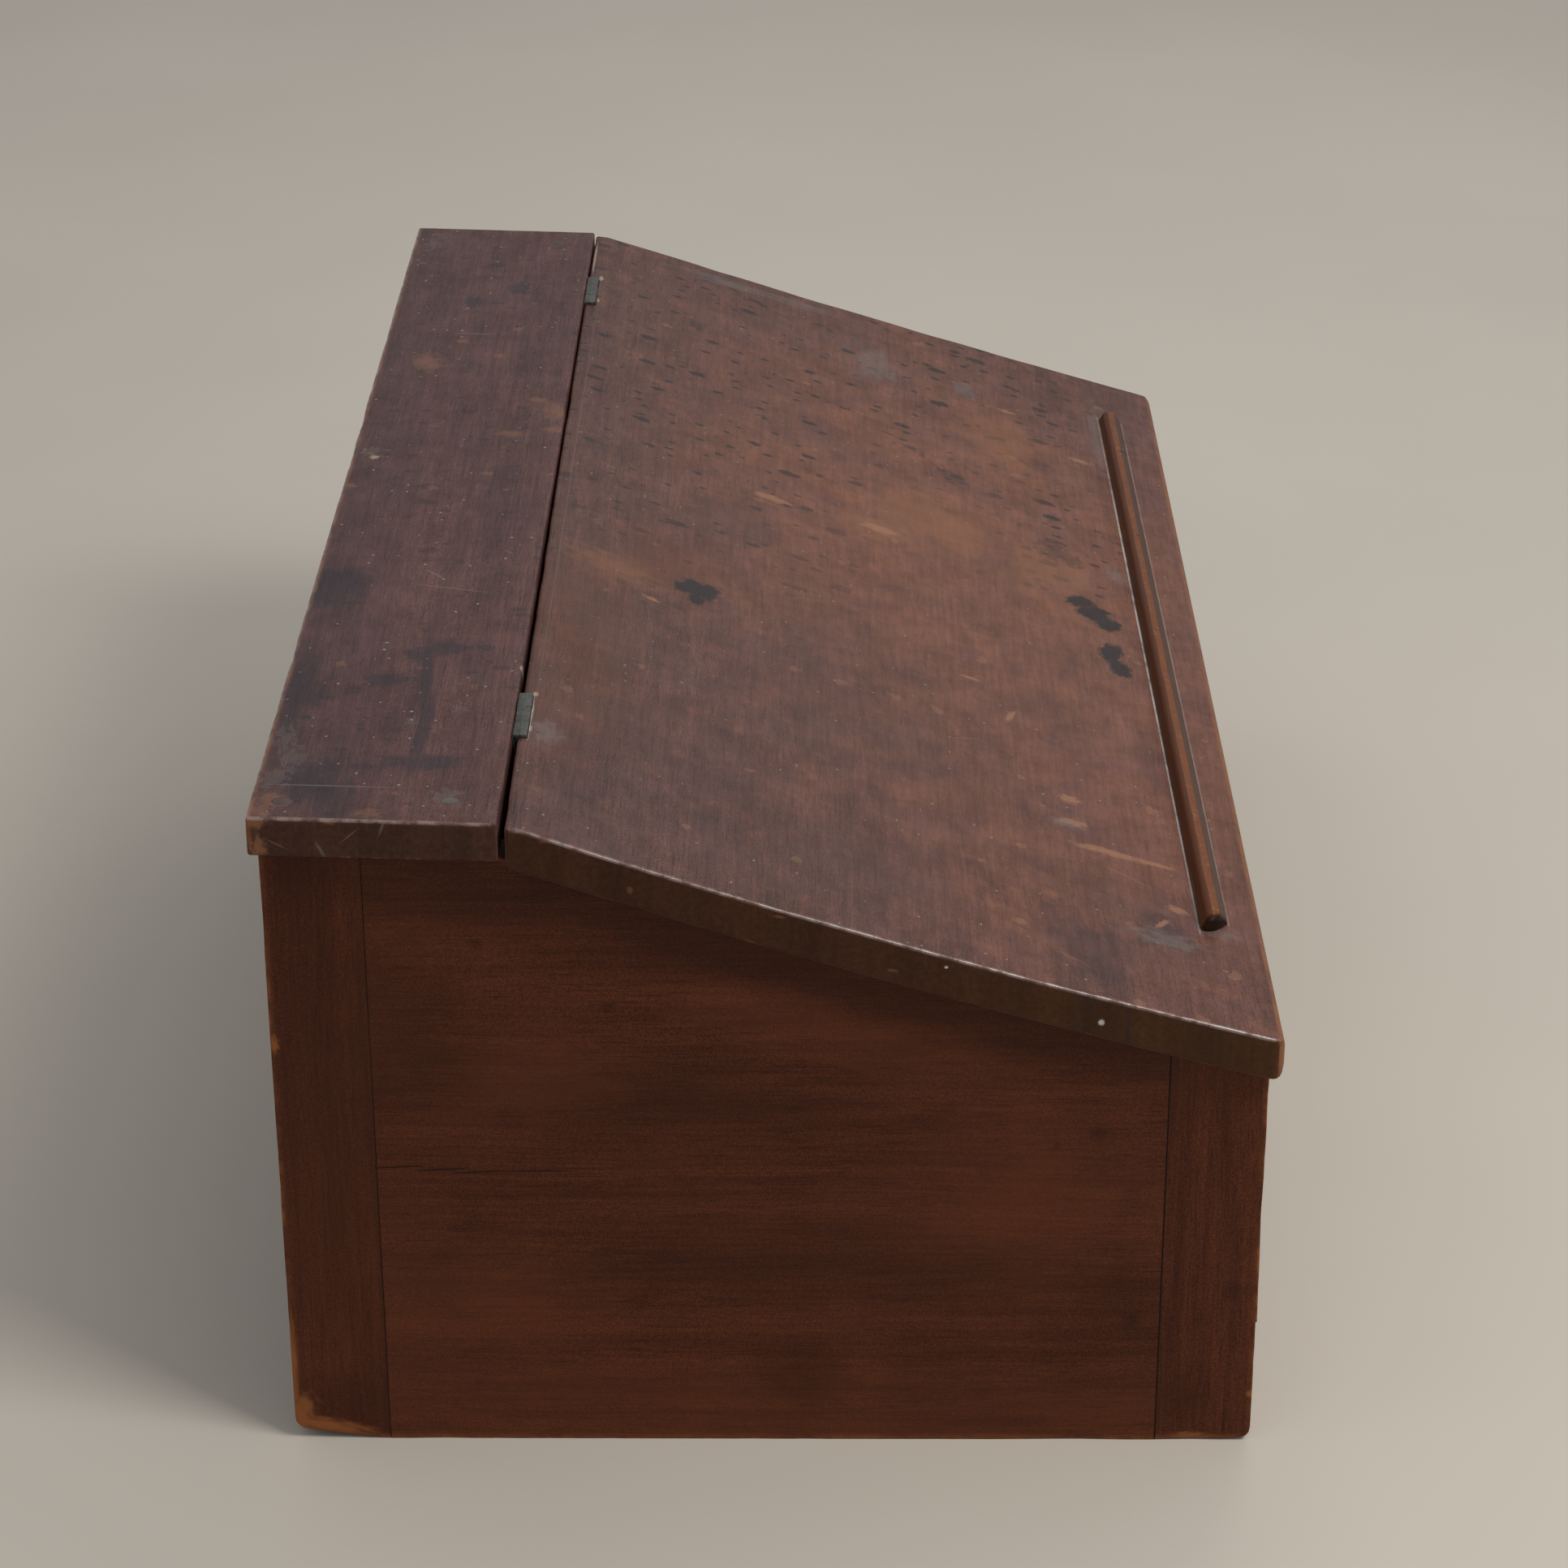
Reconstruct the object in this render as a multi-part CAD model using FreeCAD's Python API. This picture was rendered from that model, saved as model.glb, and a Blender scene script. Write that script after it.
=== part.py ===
import FreeCAD, Part
import math
import os

# Clerk's slope desk: a boarded case, a fixed top board along its high rear edge and a writing lid
# hinged to that board. Millimetres, +Z up, +X along the desk, the front at -Y, and the origin on
# the floor under the middle of the whole desk.

# Overall sizes
desk_width = 1067.0
case_depth = 572.0
rear_height = 421.0
end_overhang = 13.0
front_overhang = 7.0
rear_overhang = 4.0
cut_overrun = 5.0

# Top board
top_depth = 139.5
top_thickness = 24.0
top_pitch = math.radians(1.7)

# Lid
lid_gap = 3.0
lid_step = 2.4
lid_thickness = 26.0
lid_slope = math.radians(17.4)
lid_strip_depth = 9.6
lid_strip_fall = 1.3
lid_nose_top_radius = 8.0
lid_nose_bottom_radius = 7.0
lid_seat_clearance = 0.3

# Ends: a flush panel tongued into two stiles
end_thickness = 25.0
stile_width = 57.0
tongue_thickness = 8.0
tongue_length = 10.0
groove_relief = 0.5

# Front, back and bottom boards
front_board_thickness = 20.0
front_board_bottom = 66.0
front_board_lean = 4.5
front_tongue_setback = 6.0
base_rail_recess = 3.0
base_rail_gap = 1.0
back_thickness = 20.0
back_tongue_setback = 6.0
bottom_thickness = 16.0
bottom_side_gap = 0.5
bottom_joint_gap = 0.8
cleat_size = 22.0
cleat_lift = 4.0
block_size = 28.0
block_top_drop = 14.0

# Hinges
left_hinge_inset = 150.0
right_hinge_inset = 139.0
hinge_length = 60.0
barrel_radius = 4.25
pin_radius = 1.6
pin_clearance = 0.05
pin_rise = 0.0
knuckle_gap = 0.3
knuckle_clearance = 0.3
knuckle_count = 3
leaf_thickness = 2.0
leaf_height = 18.0
notch_clearance = 0.5
hinge_screw_drop = 11.0
hinge_screw_spacing = 40.0

# Pencil ledge
ledge_left_inset = 116.0
ledge_right_inset = 87.0
ledge_width = 19.0
ledge_height = 10.0
ledge_rear_round = 4.0
ledge_front_round = 9.0
ledge_from_front = 36.0
ledge_end_chamfer = 4.0

# Fasteners
fastener_clearance = 0.05
hinge_screw_shank_radius = 1.7
hinge_screw_head_radius = 3.4
hinge_screw_head_depth = 1.9
hinge_screw_length = 16.0
top_screw_shank_radius = 2.2
top_screw_head_radius = 4.4
top_screw_head_depth = 2.6
top_screw_length = 50.0
top_screw_front_inset = 28.0
top_screw_rear_inset = 18.0
top_screw_panel_inset = 28.0
top_screw_stile_inset = 22.0
plug_radius = 5.5
plug_depth = 7.0
brad_radius = 0.9
brad_length = 24.0
brad_count = 5
nail_shank_radius = 1.4
nail_head_radius = 3.0
nail_head_depth = 1.2
nail_length = 30.0
nail_inset = 60.0
nail_count = 3
cleat_screw_shank_radius = 1.9
cleat_screw_head_radius = 3.8
cleat_screw_head_depth = 2.2
cleat_screw_length = 34.0
cleat_screw_inset = 90.0

# Places worked out from the sizes above
x_end = desk_width / 2
x_case = x_end - end_overhang
x_inner = x_case - end_thickness
front_y = -(case_depth + front_overhang + rear_overhang) / 2
case_front_y = front_y + front_overhang
case_rear_y = case_front_y + case_depth
top_rear_y = case_rear_y + rear_overhang
top_front_y = top_rear_y - top_depth
top_front_z = rear_height - top_depth * math.tan(top_pitch)
lid_rear_y = top_front_y - lid_gap
lid_rear_z = top_front_z - lid_step
crease_y = lid_rear_y - lid_strip_depth
crease_z = lid_rear_z - lid_strip_fall
bottom_low = cleat_lift + cleat_size
bottom_high = bottom_low + bottom_thickness
front_inner_y = case_front_y + front_board_thickness
back_inner_y = case_rear_y - back_thickness
pin_y = top_front_y - knuckle_clearance - barrel_radius
pin_z = lid_rear_z - (lid_rear_y - pin_y) * lid_strip_fall / lid_strip_depth + pin_rise
notch_wall_y = pin_y - barrel_radius - knuckle_clearance
hinge_centres = {"left": -x_end + left_hinge_inset, "right": x_end - right_hinge_inset}


def lid_top_at(y):
    """Height of the lid's writing face."""
    return crease_z - (crease_y - y) * math.tan(lid_slope)


def lid_under_at(y):
    """Height of the lid's underside."""
    return lid_top_at(y) - lid_thickness / math.cos(lid_slope)


def seat_at(y):
    """Height of the case under the lid."""
    return lid_under_at(y) - lid_seat_clearance


def top_under_at(y):
    """Height of the top board's underside."""
    return rear_height - (top_rear_y - y) * math.tan(top_pitch) - top_thickness / math.cos(top_pitch)


def lid_point(up_slope, above):
    """A point by its distance up the slope from the front arris and its height above the face."""
    y = front_y + up_slope * math.cos(lid_slope) - above * math.sin(lid_slope)
    z = lid_top_at(front_y) + up_slope * math.sin(lid_slope) + above * math.cos(lid_slope)
    return (y, z)


def box(x_range, y_range, z_range):
    """A block between three pairs of limits."""
    low = FreeCAD.Vector(min(x_range), min(y_range), min(z_range))
    high = FreeCAD.Vector(max(x_range), max(y_range), max(z_range))
    size = high - low
    return Part.makeBox(size.x, size.y, size.z, low)


def outline(points, radii):
    """A closed wire in the plane of the ends, with the corners that have a radius rounded."""
    corners = [FreeCAD.Vector(0, y, z) for y, z in points]
    runs = []
    arcs = []
    for index, corner in enumerate(corners):
        before = (corners[index - 1] - corner).normalize()
        after = (corners[(index + 1) % len(corners)] - corner).normalize()
        radius = radii.get(index, 0)
        if radius == 0:
            runs.append((corner, corner))
            arcs.append(None)
            continue
        half_angle = before.getAngle(after) / 2
        reach = radius / math.tan(half_angle)
        middle = corner + (before + after).normalize() * (radius / math.sin(half_angle) - radius)
        start = corner + before * reach
        stop = corner + after * reach
        runs.append((start, stop))
        arcs.append(Part.Arc(start, middle, stop).toShape())
    edges = []
    for index, (start, stop) in enumerate(runs):
        if arcs[index]:
            edges.append(arcs[index])
        edges.append(Part.makeLine(stop, runs[(index + 1) % len(runs)][0]))
    return Part.Wire(edges)


def prism(points, x_range, radii=None):
    """A board of one outline, running along the desk between two limits."""
    face = Part.Face(outline(points, radii or {}))
    face.translate(FreeCAD.Vector(min(x_range), 0, 0))
    return face.extrude(FreeCAD.Vector(max(x_range) - min(x_range), 0, 0))


def rod(radius, start, direction, length):
    """A round bar from a point."""
    return Part.makeCylinder(radius, length, FreeCAD.Vector(*start), FreeCAD.Vector(*direction))


def screw(start, direction, sizes, grow=0):
    """A countersunk screw whose head lies flush at the start point; grow gives its hole."""
    shank_radius, head_radius, head_depth, length = sizes
    origin = FreeCAD.Vector(*start)
    axis = FreeCAD.Vector(*direction)
    head = Part.makeCone(head_radius + grow, shank_radius + grow, head_depth, origin, axis)
    shank = Part.makeCylinder(shank_radius + grow, length + grow, origin, axis)
    return head.fuse(shank).removeSplitter()


def nail(start, direction, sizes, grow=0):
    """A nail with a flat round head flush at the start point; grow gives its hole."""
    shank_radius, head_radius, head_depth, length = sizes
    head = rod(head_radius + grow, start, direction, head_depth + grow)
    shank = rod(shank_radius + grow, start, direction, length + grow)
    return head.fuse(shank).removeSplitter()


nodes = {}
groups = {}


def fasten(group, maker, start, direction, sizes, carriers):
    """Sets one fastener in a group and drills every piece that it goes through."""
    groups.setdefault(group, []).append(maker(start, direction, sizes))
    hole = maker(start, direction, sizes, fastener_clearance)
    for name in carriers:
        nodes[name] = nodes[name].cut(hole)


def build_end(side, sign):
    """A flush panel between two stiles, tongued into both, cut to the slope and the top board."""
    faces = (sign * x_inner, sign * x_case)
    middle = sign * (x_case + x_inner) / 2
    tongue_x = (middle - tongue_thickness / 2, middle + tongue_thickness / 2)
    fall = math.tan(lid_slope) - math.tan(top_pitch)
    meet_y = top_front_y + (top_under_at(top_front_y) - seat_at(top_front_y)) / fall
    points = [
        (case_front_y, 0),
        (case_rear_y, 0),
        (case_rear_y, top_under_at(case_rear_y)),
        (meet_y, top_under_at(meet_y)),
        (case_front_y, seat_at(case_front_y)),
    ]
    blank = prism(points, faces)
    tall = (-cut_overrun, rear_height)
    front_joint = case_front_y + stile_width
    rear_joint = case_rear_y - stile_width
    slab = prism(points, tongue_x).common(
        box(tongue_x, (front_joint - tongue_length, rear_joint + tongue_length), tall))
    core = blank.common(box(faces, (front_joint, rear_joint), tall))
    nodes[side + "_end_panel"] = core.fuse(slab).removeSplitter()

    inner_groove = (sign * x_inner, sign * (x_inner + tongue_length + groove_relief))
    front_tongue_y = (case_front_y + front_tongue_setback,
                      case_front_y + front_tongue_setback + tongue_thickness)
    back_tongue_y = (case_rear_y - back_tongue_setback - tongue_thickness,
                     case_rear_y - back_tongue_setback)
    for place, outer, joint, turn, board_tongue in (
            ("front", case_front_y, front_joint, -1, front_tongue_y),
            ("rear", case_rear_y, rear_joint, 1, back_tongue_y)):
        stile = blank.common(box(faces, (outer, joint), tall))
        reach = joint + turn * (tongue_length + groove_relief)
        stile = stile.cut(box(tongue_x, (joint, reach), tall))
        nodes[side + "_" + place + "_stile"] = stile.cut(box(inner_groove, board_tongue, tall))


def build_front_and_back():
    """Boards between the stiles, each with a tongue in the grooves of both ends."""
    span = (-x_inner, x_inner)
    tongue_span = (-x_inner - tongue_length, x_inner + tongue_length)
    tongue_y = case_front_y + front_tongue_setback
    tongue_stop = tongue_y + tongue_thickness
    face = [
        (case_front_y - front_board_lean, front_board_bottom),
        (front_inner_y - front_board_lean, front_board_bottom),
        (front_inner_y, seat_at(front_inner_y)),
        (case_front_y, seat_at(case_front_y)),
    ]
    tongue = [
        (tongue_y, front_board_bottom),
        (tongue_stop, front_board_bottom),
        (tongue_stop, seat_at(tongue_stop)),
        (tongue_y, seat_at(tongue_y)),
    ]
    nodes["front_board"] = prism(face, span).fuse(prism(tongue, tongue_span)).removeSplitter()

    rail_z = (0, front_board_bottom - base_rail_gap)
    rail = box(span, (case_front_y + base_rail_recess, front_inner_y), rail_z)
    rail_tongue = box(tongue_span, (tongue_y, tongue_stop), rail_z)
    nodes["front_base_rail"] = rail.fuse(rail_tongue).removeSplitter()

    back = [
        (back_inner_y, 0),
        (case_rear_y, 0),
        (case_rear_y, top_under_at(case_rear_y)),
        (back_inner_y, top_under_at(back_inner_y)),
    ]
    back_start = case_rear_y - back_tongue_setback - tongue_thickness
    back_stop = case_rear_y - back_tongue_setback
    back_tongue = [
        (back_start, 0),
        (back_stop, 0),
        (back_stop, top_under_at(back_stop)),
        (back_start, top_under_at(back_start)),
    ]
    nodes["back_board"] = prism(back, span).fuse(prism(back_tongue, tongue_span)).removeSplitter()


def build_bottom():
    """Two bottom boards on a ring of cleats, nailed down, with a block in each corner."""
    cleat_z = (cleat_lift, bottom_low)
    span = (-x_inner, x_inner)
    nodes["front_bottom_cleat"] = box(span, (front_inner_y, front_inner_y + cleat_size), cleat_z)
    nodes["rear_bottom_cleat"] = box(span, (back_inner_y - cleat_size, back_inner_y), cleat_z)
    side_y = (front_inner_y + cleat_size, back_inner_y - cleat_size)
    for side, sign in (("left", -1), ("right", 1)):
        side_x = (sign * (x_inner - cleat_size), sign * x_inner)
        nodes[side + "_bottom_cleat"] = box(side_x, side_y, cleat_z)

    board_x = (-x_inner + bottom_side_gap, x_inner - bottom_side_gap)
    middle_y = (front_inner_y + back_inner_y) / 2
    board_z = (bottom_low, bottom_high)
    nodes["bottom_front_board"] = box(
        board_x, (front_inner_y + bottom_side_gap, middle_y - bottom_joint_gap / 2), board_z)
    nodes["bottom_rear_board"] = box(
        board_x, (middle_y + bottom_joint_gap / 2, back_inner_y - bottom_side_gap), board_z)

    nail_sizes = (nail_shank_radius, nail_head_radius, nail_head_depth, nail_length)
    run = 2 * (x_inner - nail_inset)
    for index in range(nail_count):
        x = -x_inner + nail_inset + run * index / (nail_count - 1)
        for y, board, cleat in (
                (front_inner_y + cleat_size / 2, "bottom_front_board", "front_bottom_cleat"),
                (back_inner_y - cleat_size / 2, "bottom_rear_board", "rear_bottom_cleat")):
            fasten("bottom_nails", nail, (x, y, bottom_high), (0, 0, -1), nail_sizes, (board, cleat))
    for side, sign in (("left", -1), ("right", 1)):
        x = sign * (x_inner - cleat_size / 2)
        for board, y in (("bottom_front_board", middle_y - nail_inset),
                         ("bottom_rear_board", middle_y + nail_inset)):
            fasten("bottom_nails", nail, (x, y, bottom_high), (0, 0, -1), nail_sizes,
                   (board, side + "_bottom_cleat"))

    screw_sizes = (cleat_screw_shank_radius, cleat_screw_head_radius,
                   cleat_screw_head_depth, cleat_screw_length)
    cleat_z_middle = cleat_lift + cleat_size / 2
    for side, sign in (("left", -1), ("right", 1)):
        for y in (side_y[0] + cleat_screw_inset, side_y[1] - cleat_screw_inset):
            start = (sign * (x_inner - cleat_size), y, cleat_z_middle)
            fasten("cleat_screws", screw, start, (sign, 0, 0), screw_sizes,
                   (side + "_bottom_cleat", side + "_end_panel"))
        x = sign * (x_inner - cleat_screw_inset)
        fasten("cleat_screws", screw, (x, front_inner_y + cleat_size, cleat_z_middle), (0, -1, 0),
               screw_sizes, ("front_bottom_cleat", "front_base_rail"))
        fasten("cleat_screws", screw, (x, back_inner_y - cleat_size, cleat_z_middle), (0, 1, 0),
               screw_sizes, ("rear_bottom_cleat", "back_board"))

        block_x = (sign * x_inner, sign * (x_inner - block_size))
        nodes[side + "_front_corner_block"] = box(
            block_x, (front_inner_y, front_inner_y + block_size),
            (bottom_high, seat_at(front_inner_y) - block_top_drop))
        nodes[side + "_rear_corner_block"] = box(
            block_x, (back_inner_y - block_size, back_inner_y),
            (bottom_high, top_under_at(back_inner_y) - block_top_drop))


def build_top_board():
    """The fixed board along the rear, screwed down through plugged holes."""
    points = [
        (top_front_y, top_under_at(top_front_y)),
        (top_rear_y, top_under_at(top_rear_y)),
        (top_rear_y, rear_height),
        (top_front_y, top_front_z),
    ]
    board = prism(points, (-x_end, x_end))
    nodes["top_board"] = board
    sizes = (top_screw_shank_radius, top_screw_head_radius, top_screw_head_depth, top_screw_length)
    plugs = []
    places = (
        ("_end_panel", top_screw_panel_inset, top_front_y + top_screw_front_inset),
        ("_rear_stile", top_screw_stile_inset, top_rear_y - top_screw_rear_inset),
    )
    for side, sign in (("left", -1), ("right", 1)):
        for carrier, end_inset, y in places:
            surface_z = rear_height - (top_rear_y - y) * math.tan(top_pitch)
            seat = (sign * (x_end - end_inset), y, surface_z - plug_depth)
            plug_height = plug_depth + cut_overrun
            plugs.append(rod(plug_radius, seat, (0, 0, 1), plug_height).common(board))
            bore = rod(plug_radius + fastener_clearance, seat, (0, 0, 1), plug_height)
            nodes["top_board"] = nodes["top_board"].cut(bore)
            fasten("top_board_screws", screw, seat, (0, 0, -1), sizes, ("top_board", side + carrier))
    groups["top_board_plugs"] = plugs


def build_lid():
    """The writing lid: a planed strip at the hinge edge, the slope, and a rounded front edge."""
    points = [
        (lid_rear_y, lid_rear_z),
        (crease_y, crease_z),
        (front_y, lid_top_at(front_y)),
        (front_y, lid_under_at(front_y)),
        (lid_rear_y, lid_under_at(lid_rear_y)),
    ]
    nose = {2: lid_nose_top_radius, 3: lid_nose_bottom_radius}
    lid = prism(points, (-x_end, x_end), nose)
    reach = hinge_length / 2 + notch_clearance
    notch_z = (pin_z - leaf_height - notch_clearance, rear_height)
    for centre in hinge_centres.values():
        lid = lid.cut(box((centre - reach, centre + reach),
                          (notch_wall_y, lid_rear_y + cut_overrun), notch_z))
    nodes["lid_board"] = lid


def build_ledge():
    """The pencil ledge: a round-topped strip near the front of the lid, held by brads."""
    near = ledge_from_front - ledge_width / 2
    far = ledge_from_front + ledge_width / 2
    low_x = -x_end + ledge_left_inset
    high_x = x_end - ledge_right_inset
    section = [lid_point(near, 0), lid_point(far, 0),
               lid_point(far, ledge_height), lid_point(near, ledge_height)]
    strip = prism(section, (low_x, high_x), {2: ledge_rear_round, 3: ledge_front_round})
    shoulder = ledge_height - ledge_end_chamfer
    elevation = ((low_x, 0), (high_x, 0), (high_x, shoulder), (high_x - ledge_end_chamfer, ledge_height),
                 (low_x + ledge_end_chamfer, ledge_height), (low_x, shoulder))
    corners = [FreeCAD.Vector(x, *lid_point(near - cut_overrun, above)) for x, above in elevation]
    up_slope = FreeCAD.Vector(0, math.cos(lid_slope), math.sin(lid_slope))
    side_face = Part.Face(Part.makePolygon(corners + corners[:1]))
    nodes["pencil_ledge"] = strip.common(side_face.extrude(up_slope * (ledge_width + 2 * cut_overrun)))

    normal = (0, math.sin(lid_slope), -math.cos(lid_slope))
    crown = (near + ledge_front_round + far - ledge_rear_round) / 2
    for index in range(brad_count):
        x = low_x + (high_x - low_x) * (index + 0.5) / brad_count
        start = (x, *lid_point(crown, ledge_height))
        brad = rod(brad_radius, start, normal, brad_length)
        hole = rod(brad_radius + fastener_clearance, start, normal, brad_length + fastener_clearance)
        groups.setdefault("ledge_brads", []).append(brad)
        for name in ("pencil_ledge", "lid_board"):
            nodes[name] = nodes[name].cut(hole)


def build_hinge(side, centre):
    """An iron butt hinge: one leaf on the top board's edge, one in the lid's notch, and a pin."""
    start_x = centre - hinge_length / 2
    pitch = (hinge_length + knuckle_gap) / knuckle_count
    leaf_x = (start_x, start_x + hinge_length)
    leaf_z = (pin_z - leaf_height, pin_z)
    leaves = {
        "top": (box(leaf_x, (top_front_y - leaf_thickness, top_front_y), leaf_z), 0),
        "lid": (box(leaf_x, (notch_wall_y, notch_wall_y + leaf_thickness), leaf_z), 1),
    }
    for name, (leaf, own) in leaves.items():
        for index in range(knuckle_count):
            begin = start_x + index * pitch
            if index % 2 == own:
                leaf = leaf.fuse(rod(barrel_radius, (begin, pin_y, pin_z), (1, 0, 0),
                                     pitch - knuckle_gap))
            else:
                leaf = leaf.cut(rod(barrel_radius + knuckle_clearance,
                                    (begin - knuckle_gap, pin_y, pin_z), (1, 0, 0),
                                    pitch + knuckle_gap))
        bore = rod(pin_radius + pin_clearance, (start_x - cut_overrun, pin_y, pin_z), (1, 0, 0),
                   hinge_length + 2 * cut_overrun)
        nodes[side + "_hinge_" + name + "_leaf"] = leaf.cut(bore).removeSplitter()
    nodes[side + "_hinge_pin"] = rod(pin_radius, (start_x, pin_y, pin_z), (1, 0, 0), hinge_length)

    sizes = (hinge_screw_shank_radius, hinge_screw_head_radius,
             hinge_screw_head_depth, hinge_screw_length)
    screw_z = pin_z - hinge_screw_drop
    for x in (centre - hinge_screw_spacing / 2, centre + hinge_screw_spacing / 2):
        fasten("hinge_top_screws", screw, (x, top_front_y - leaf_thickness, screw_z), (0, 1, 0),
               sizes, (side + "_hinge_top_leaf", "top_board"))
        fasten("hinge_lid_screws", screw, (x, notch_wall_y + leaf_thickness, screw_z), (0, -1, 0),
               sizes, (side + "_hinge_lid_leaf", "lid_board"))


build_end("left", -1)
build_end("right", 1)
build_front_and_back()
build_bottom()
build_top_board()
build_lid()
build_ledge()
for hinge_side, hinge_centre in hinge_centres.items():
    build_hinge(hinge_side, hinge_centre)
for group_name, solids in groups.items():
    nodes[group_name] = Part.makeCompound(solids)

os.makedirs("parts", exist_ok=True)
for node_name, shape in nodes.items():
    shape.exportStep("parts/" + node_name + ".step")
    solids = shape.Solids
    print(node_name, len(solids), shape.isValid(), round(shape.Volume))
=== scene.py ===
import math

import bmesh
import bpy
import numpy as np
from mathutils import Matrix, Vector, noise


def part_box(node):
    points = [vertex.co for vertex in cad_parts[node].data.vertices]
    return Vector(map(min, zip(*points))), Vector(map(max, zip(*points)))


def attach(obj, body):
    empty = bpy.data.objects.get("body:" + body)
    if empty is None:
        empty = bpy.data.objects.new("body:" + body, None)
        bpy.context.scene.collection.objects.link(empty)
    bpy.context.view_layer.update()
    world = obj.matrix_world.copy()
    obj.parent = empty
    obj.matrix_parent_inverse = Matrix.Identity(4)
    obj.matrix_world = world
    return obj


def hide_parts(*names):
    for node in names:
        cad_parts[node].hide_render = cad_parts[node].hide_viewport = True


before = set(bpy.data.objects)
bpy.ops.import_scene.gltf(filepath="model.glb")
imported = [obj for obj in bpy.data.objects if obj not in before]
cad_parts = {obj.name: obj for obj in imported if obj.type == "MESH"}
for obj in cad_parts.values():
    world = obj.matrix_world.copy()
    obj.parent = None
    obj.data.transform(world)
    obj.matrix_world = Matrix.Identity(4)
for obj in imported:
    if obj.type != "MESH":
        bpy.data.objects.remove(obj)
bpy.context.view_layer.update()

# A clerk's standing desk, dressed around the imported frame. Metres, the front of the desk at -Y,
# and the end that faces the camera at -X.
mm = 0.001
quarter = math.pi / 2
along_desk = Vector((1, 0, 0))
across_desk = Vector((0, 1, 0))
upright = Vector((0, 0, 1))

# Places read from the frame
lid_low, lid_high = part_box("lid_board")
top_low, top_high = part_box("top_board")
front_stile_low, front_stile_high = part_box("left_front_stile")
rear_stile_low, rear_stile_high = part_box("left_rear_stile")
rail_low, rail_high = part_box("front_base_rail")
ledge_low, ledge_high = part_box("pencil_ledge")
cleat_low, cleat_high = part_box("front_bottom_cleat")
front_bottom_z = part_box("front_board")[0].z
back_inner_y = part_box("rear_bottom_cleat")[1].y
x_end = lid_high.x
x_case = -rear_stile_low.x
x_inner = cleat_high.x
front_y = lid_low.y
case_front_y = front_stile_low.y
case_rear_y = rear_stile_high.y
front_joint_y = front_stile_high.y
rear_joint_y = rear_stile_low.y
front_inner_y = cleat_low.y

# Slopes and thicknesses of the boards
lid_slope = math.radians(17.4)
lid_thickness = 26 * mm
lid_strip_depth = 9.6 * mm
lid_strip_fall = 1.3 * mm
lid_nose_top = 8 * mm
lid_nose_bottom = 7 * mm
lid_corner_round = 9 * mm
seat_clearance = 0.3 * mm
top_pitch = math.radians(1.7)
top_thickness = 24 * mm
front_lean = 4.5 * mm
crease_y = lid_high.y - lid_strip_depth
crease_z = lid_high.z - lid_strip_fall
up_slope = Vector((0, math.cos(lid_slope), math.sin(lid_slope)))
off_lid = Vector((0, -math.sin(lid_slope), math.cos(lid_slope)))
up_top = Vector((0, math.cos(top_pitch), math.sin(top_pitch)))
off_top = Vector((0, -math.sin(top_pitch), math.cos(top_pitch)))

# The pencil ledge, which lies a little out of square and is worn to a slope in front
ledge_width = 19 * mm
ledge_height = 10 * mm
ledge_from_front = 36 * mm
ledge_rear_round = 4.6 * mm
ledge_front_run = 9.5 * mm
ledge_front_bulge = 0.9 * mm
ledge_facets = 6
ledge_rear_lean = 1.2 * mm
ledge_end_round = 5 * mm
ledge_end_fall = 0.45
ledge_end_pinch = 0.3
ledge_slant = 13 * mm
ledge_slant_run = 45 * mm
ledge_turn = 0.5
ledge_front = ledge_from_front - ledge_width / 2
ledge_rear = ledge_from_front + ledge_width / 2
ledge_front_y = front_y + ledge_front * math.cos(lid_slope)
ledge_rear_y = front_y + ledge_rear * math.cos(lid_slope)
ledge_foot = Vector((0, front_y, crease_z - (crease_y - front_y) * math.tan(lid_slope)))

# How the old lid has cupped and how its hinge gap runs from the near end to the far end
cup_fall = -18.9 * mm
cup_rise = 20.6 * mm
cup_usual = 2 * mm
far_end_flatness = 0.55
near_gap_opening = 0.7 * mm
far_gap_closing = 2.2 * mm
gap_taper = 2.5
gap_run = 60 * mm


def lid_face(y):
    """Height of the lid's writing face where it is flat."""
    if y > crease_y:
        return crease_z + (y - crease_y) * lid_strip_fall / lid_strip_depth
    return crease_z - (crease_y - y) * math.tan(lid_slope)


def lid_under(y):
    """Height of the lid's underside where it is flat."""
    return crease_z - (crease_y - y) * math.tan(lid_slope) - lid_thickness / math.cos(lid_slope)


def seat(y):
    """Height of the case under the lid."""
    return lid_under(y) - seat_clearance


def top_face(y):
    """Height of the top board's face."""
    return top_high.z - (top_high.y - y) * math.tan(top_pitch)


def top_under(y):
    """Height of the top board's underside."""
    return top_face(y) - top_thickness / math.cos(top_pitch)


def clamped(share):
    """A share kept between 0 and 1."""
    return min(max(share, 0), 1)


def eased(value, low, high):
    """A smooth step from 0 at low to 1 at high."""
    share = clamped((value - low) / (high - low))
    return share * share * (3 - 2 * share)


def lid_warp(x, y):
    """How far the cupped lid stands above its flat line."""
    share = clamped((crease_y - y) / (crease_y - front_y))
    depth = 1 - far_end_flatness * (x + x_end) / (2 * x_end)
    return depth * (cup_fall * share + cup_rise * share * share)


def placed(name, data):
    """A new object in the scene."""
    made = bpy.data.objects.new(name, data)
    bpy.context.scene.collection.objects.link(made)
    return made


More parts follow.
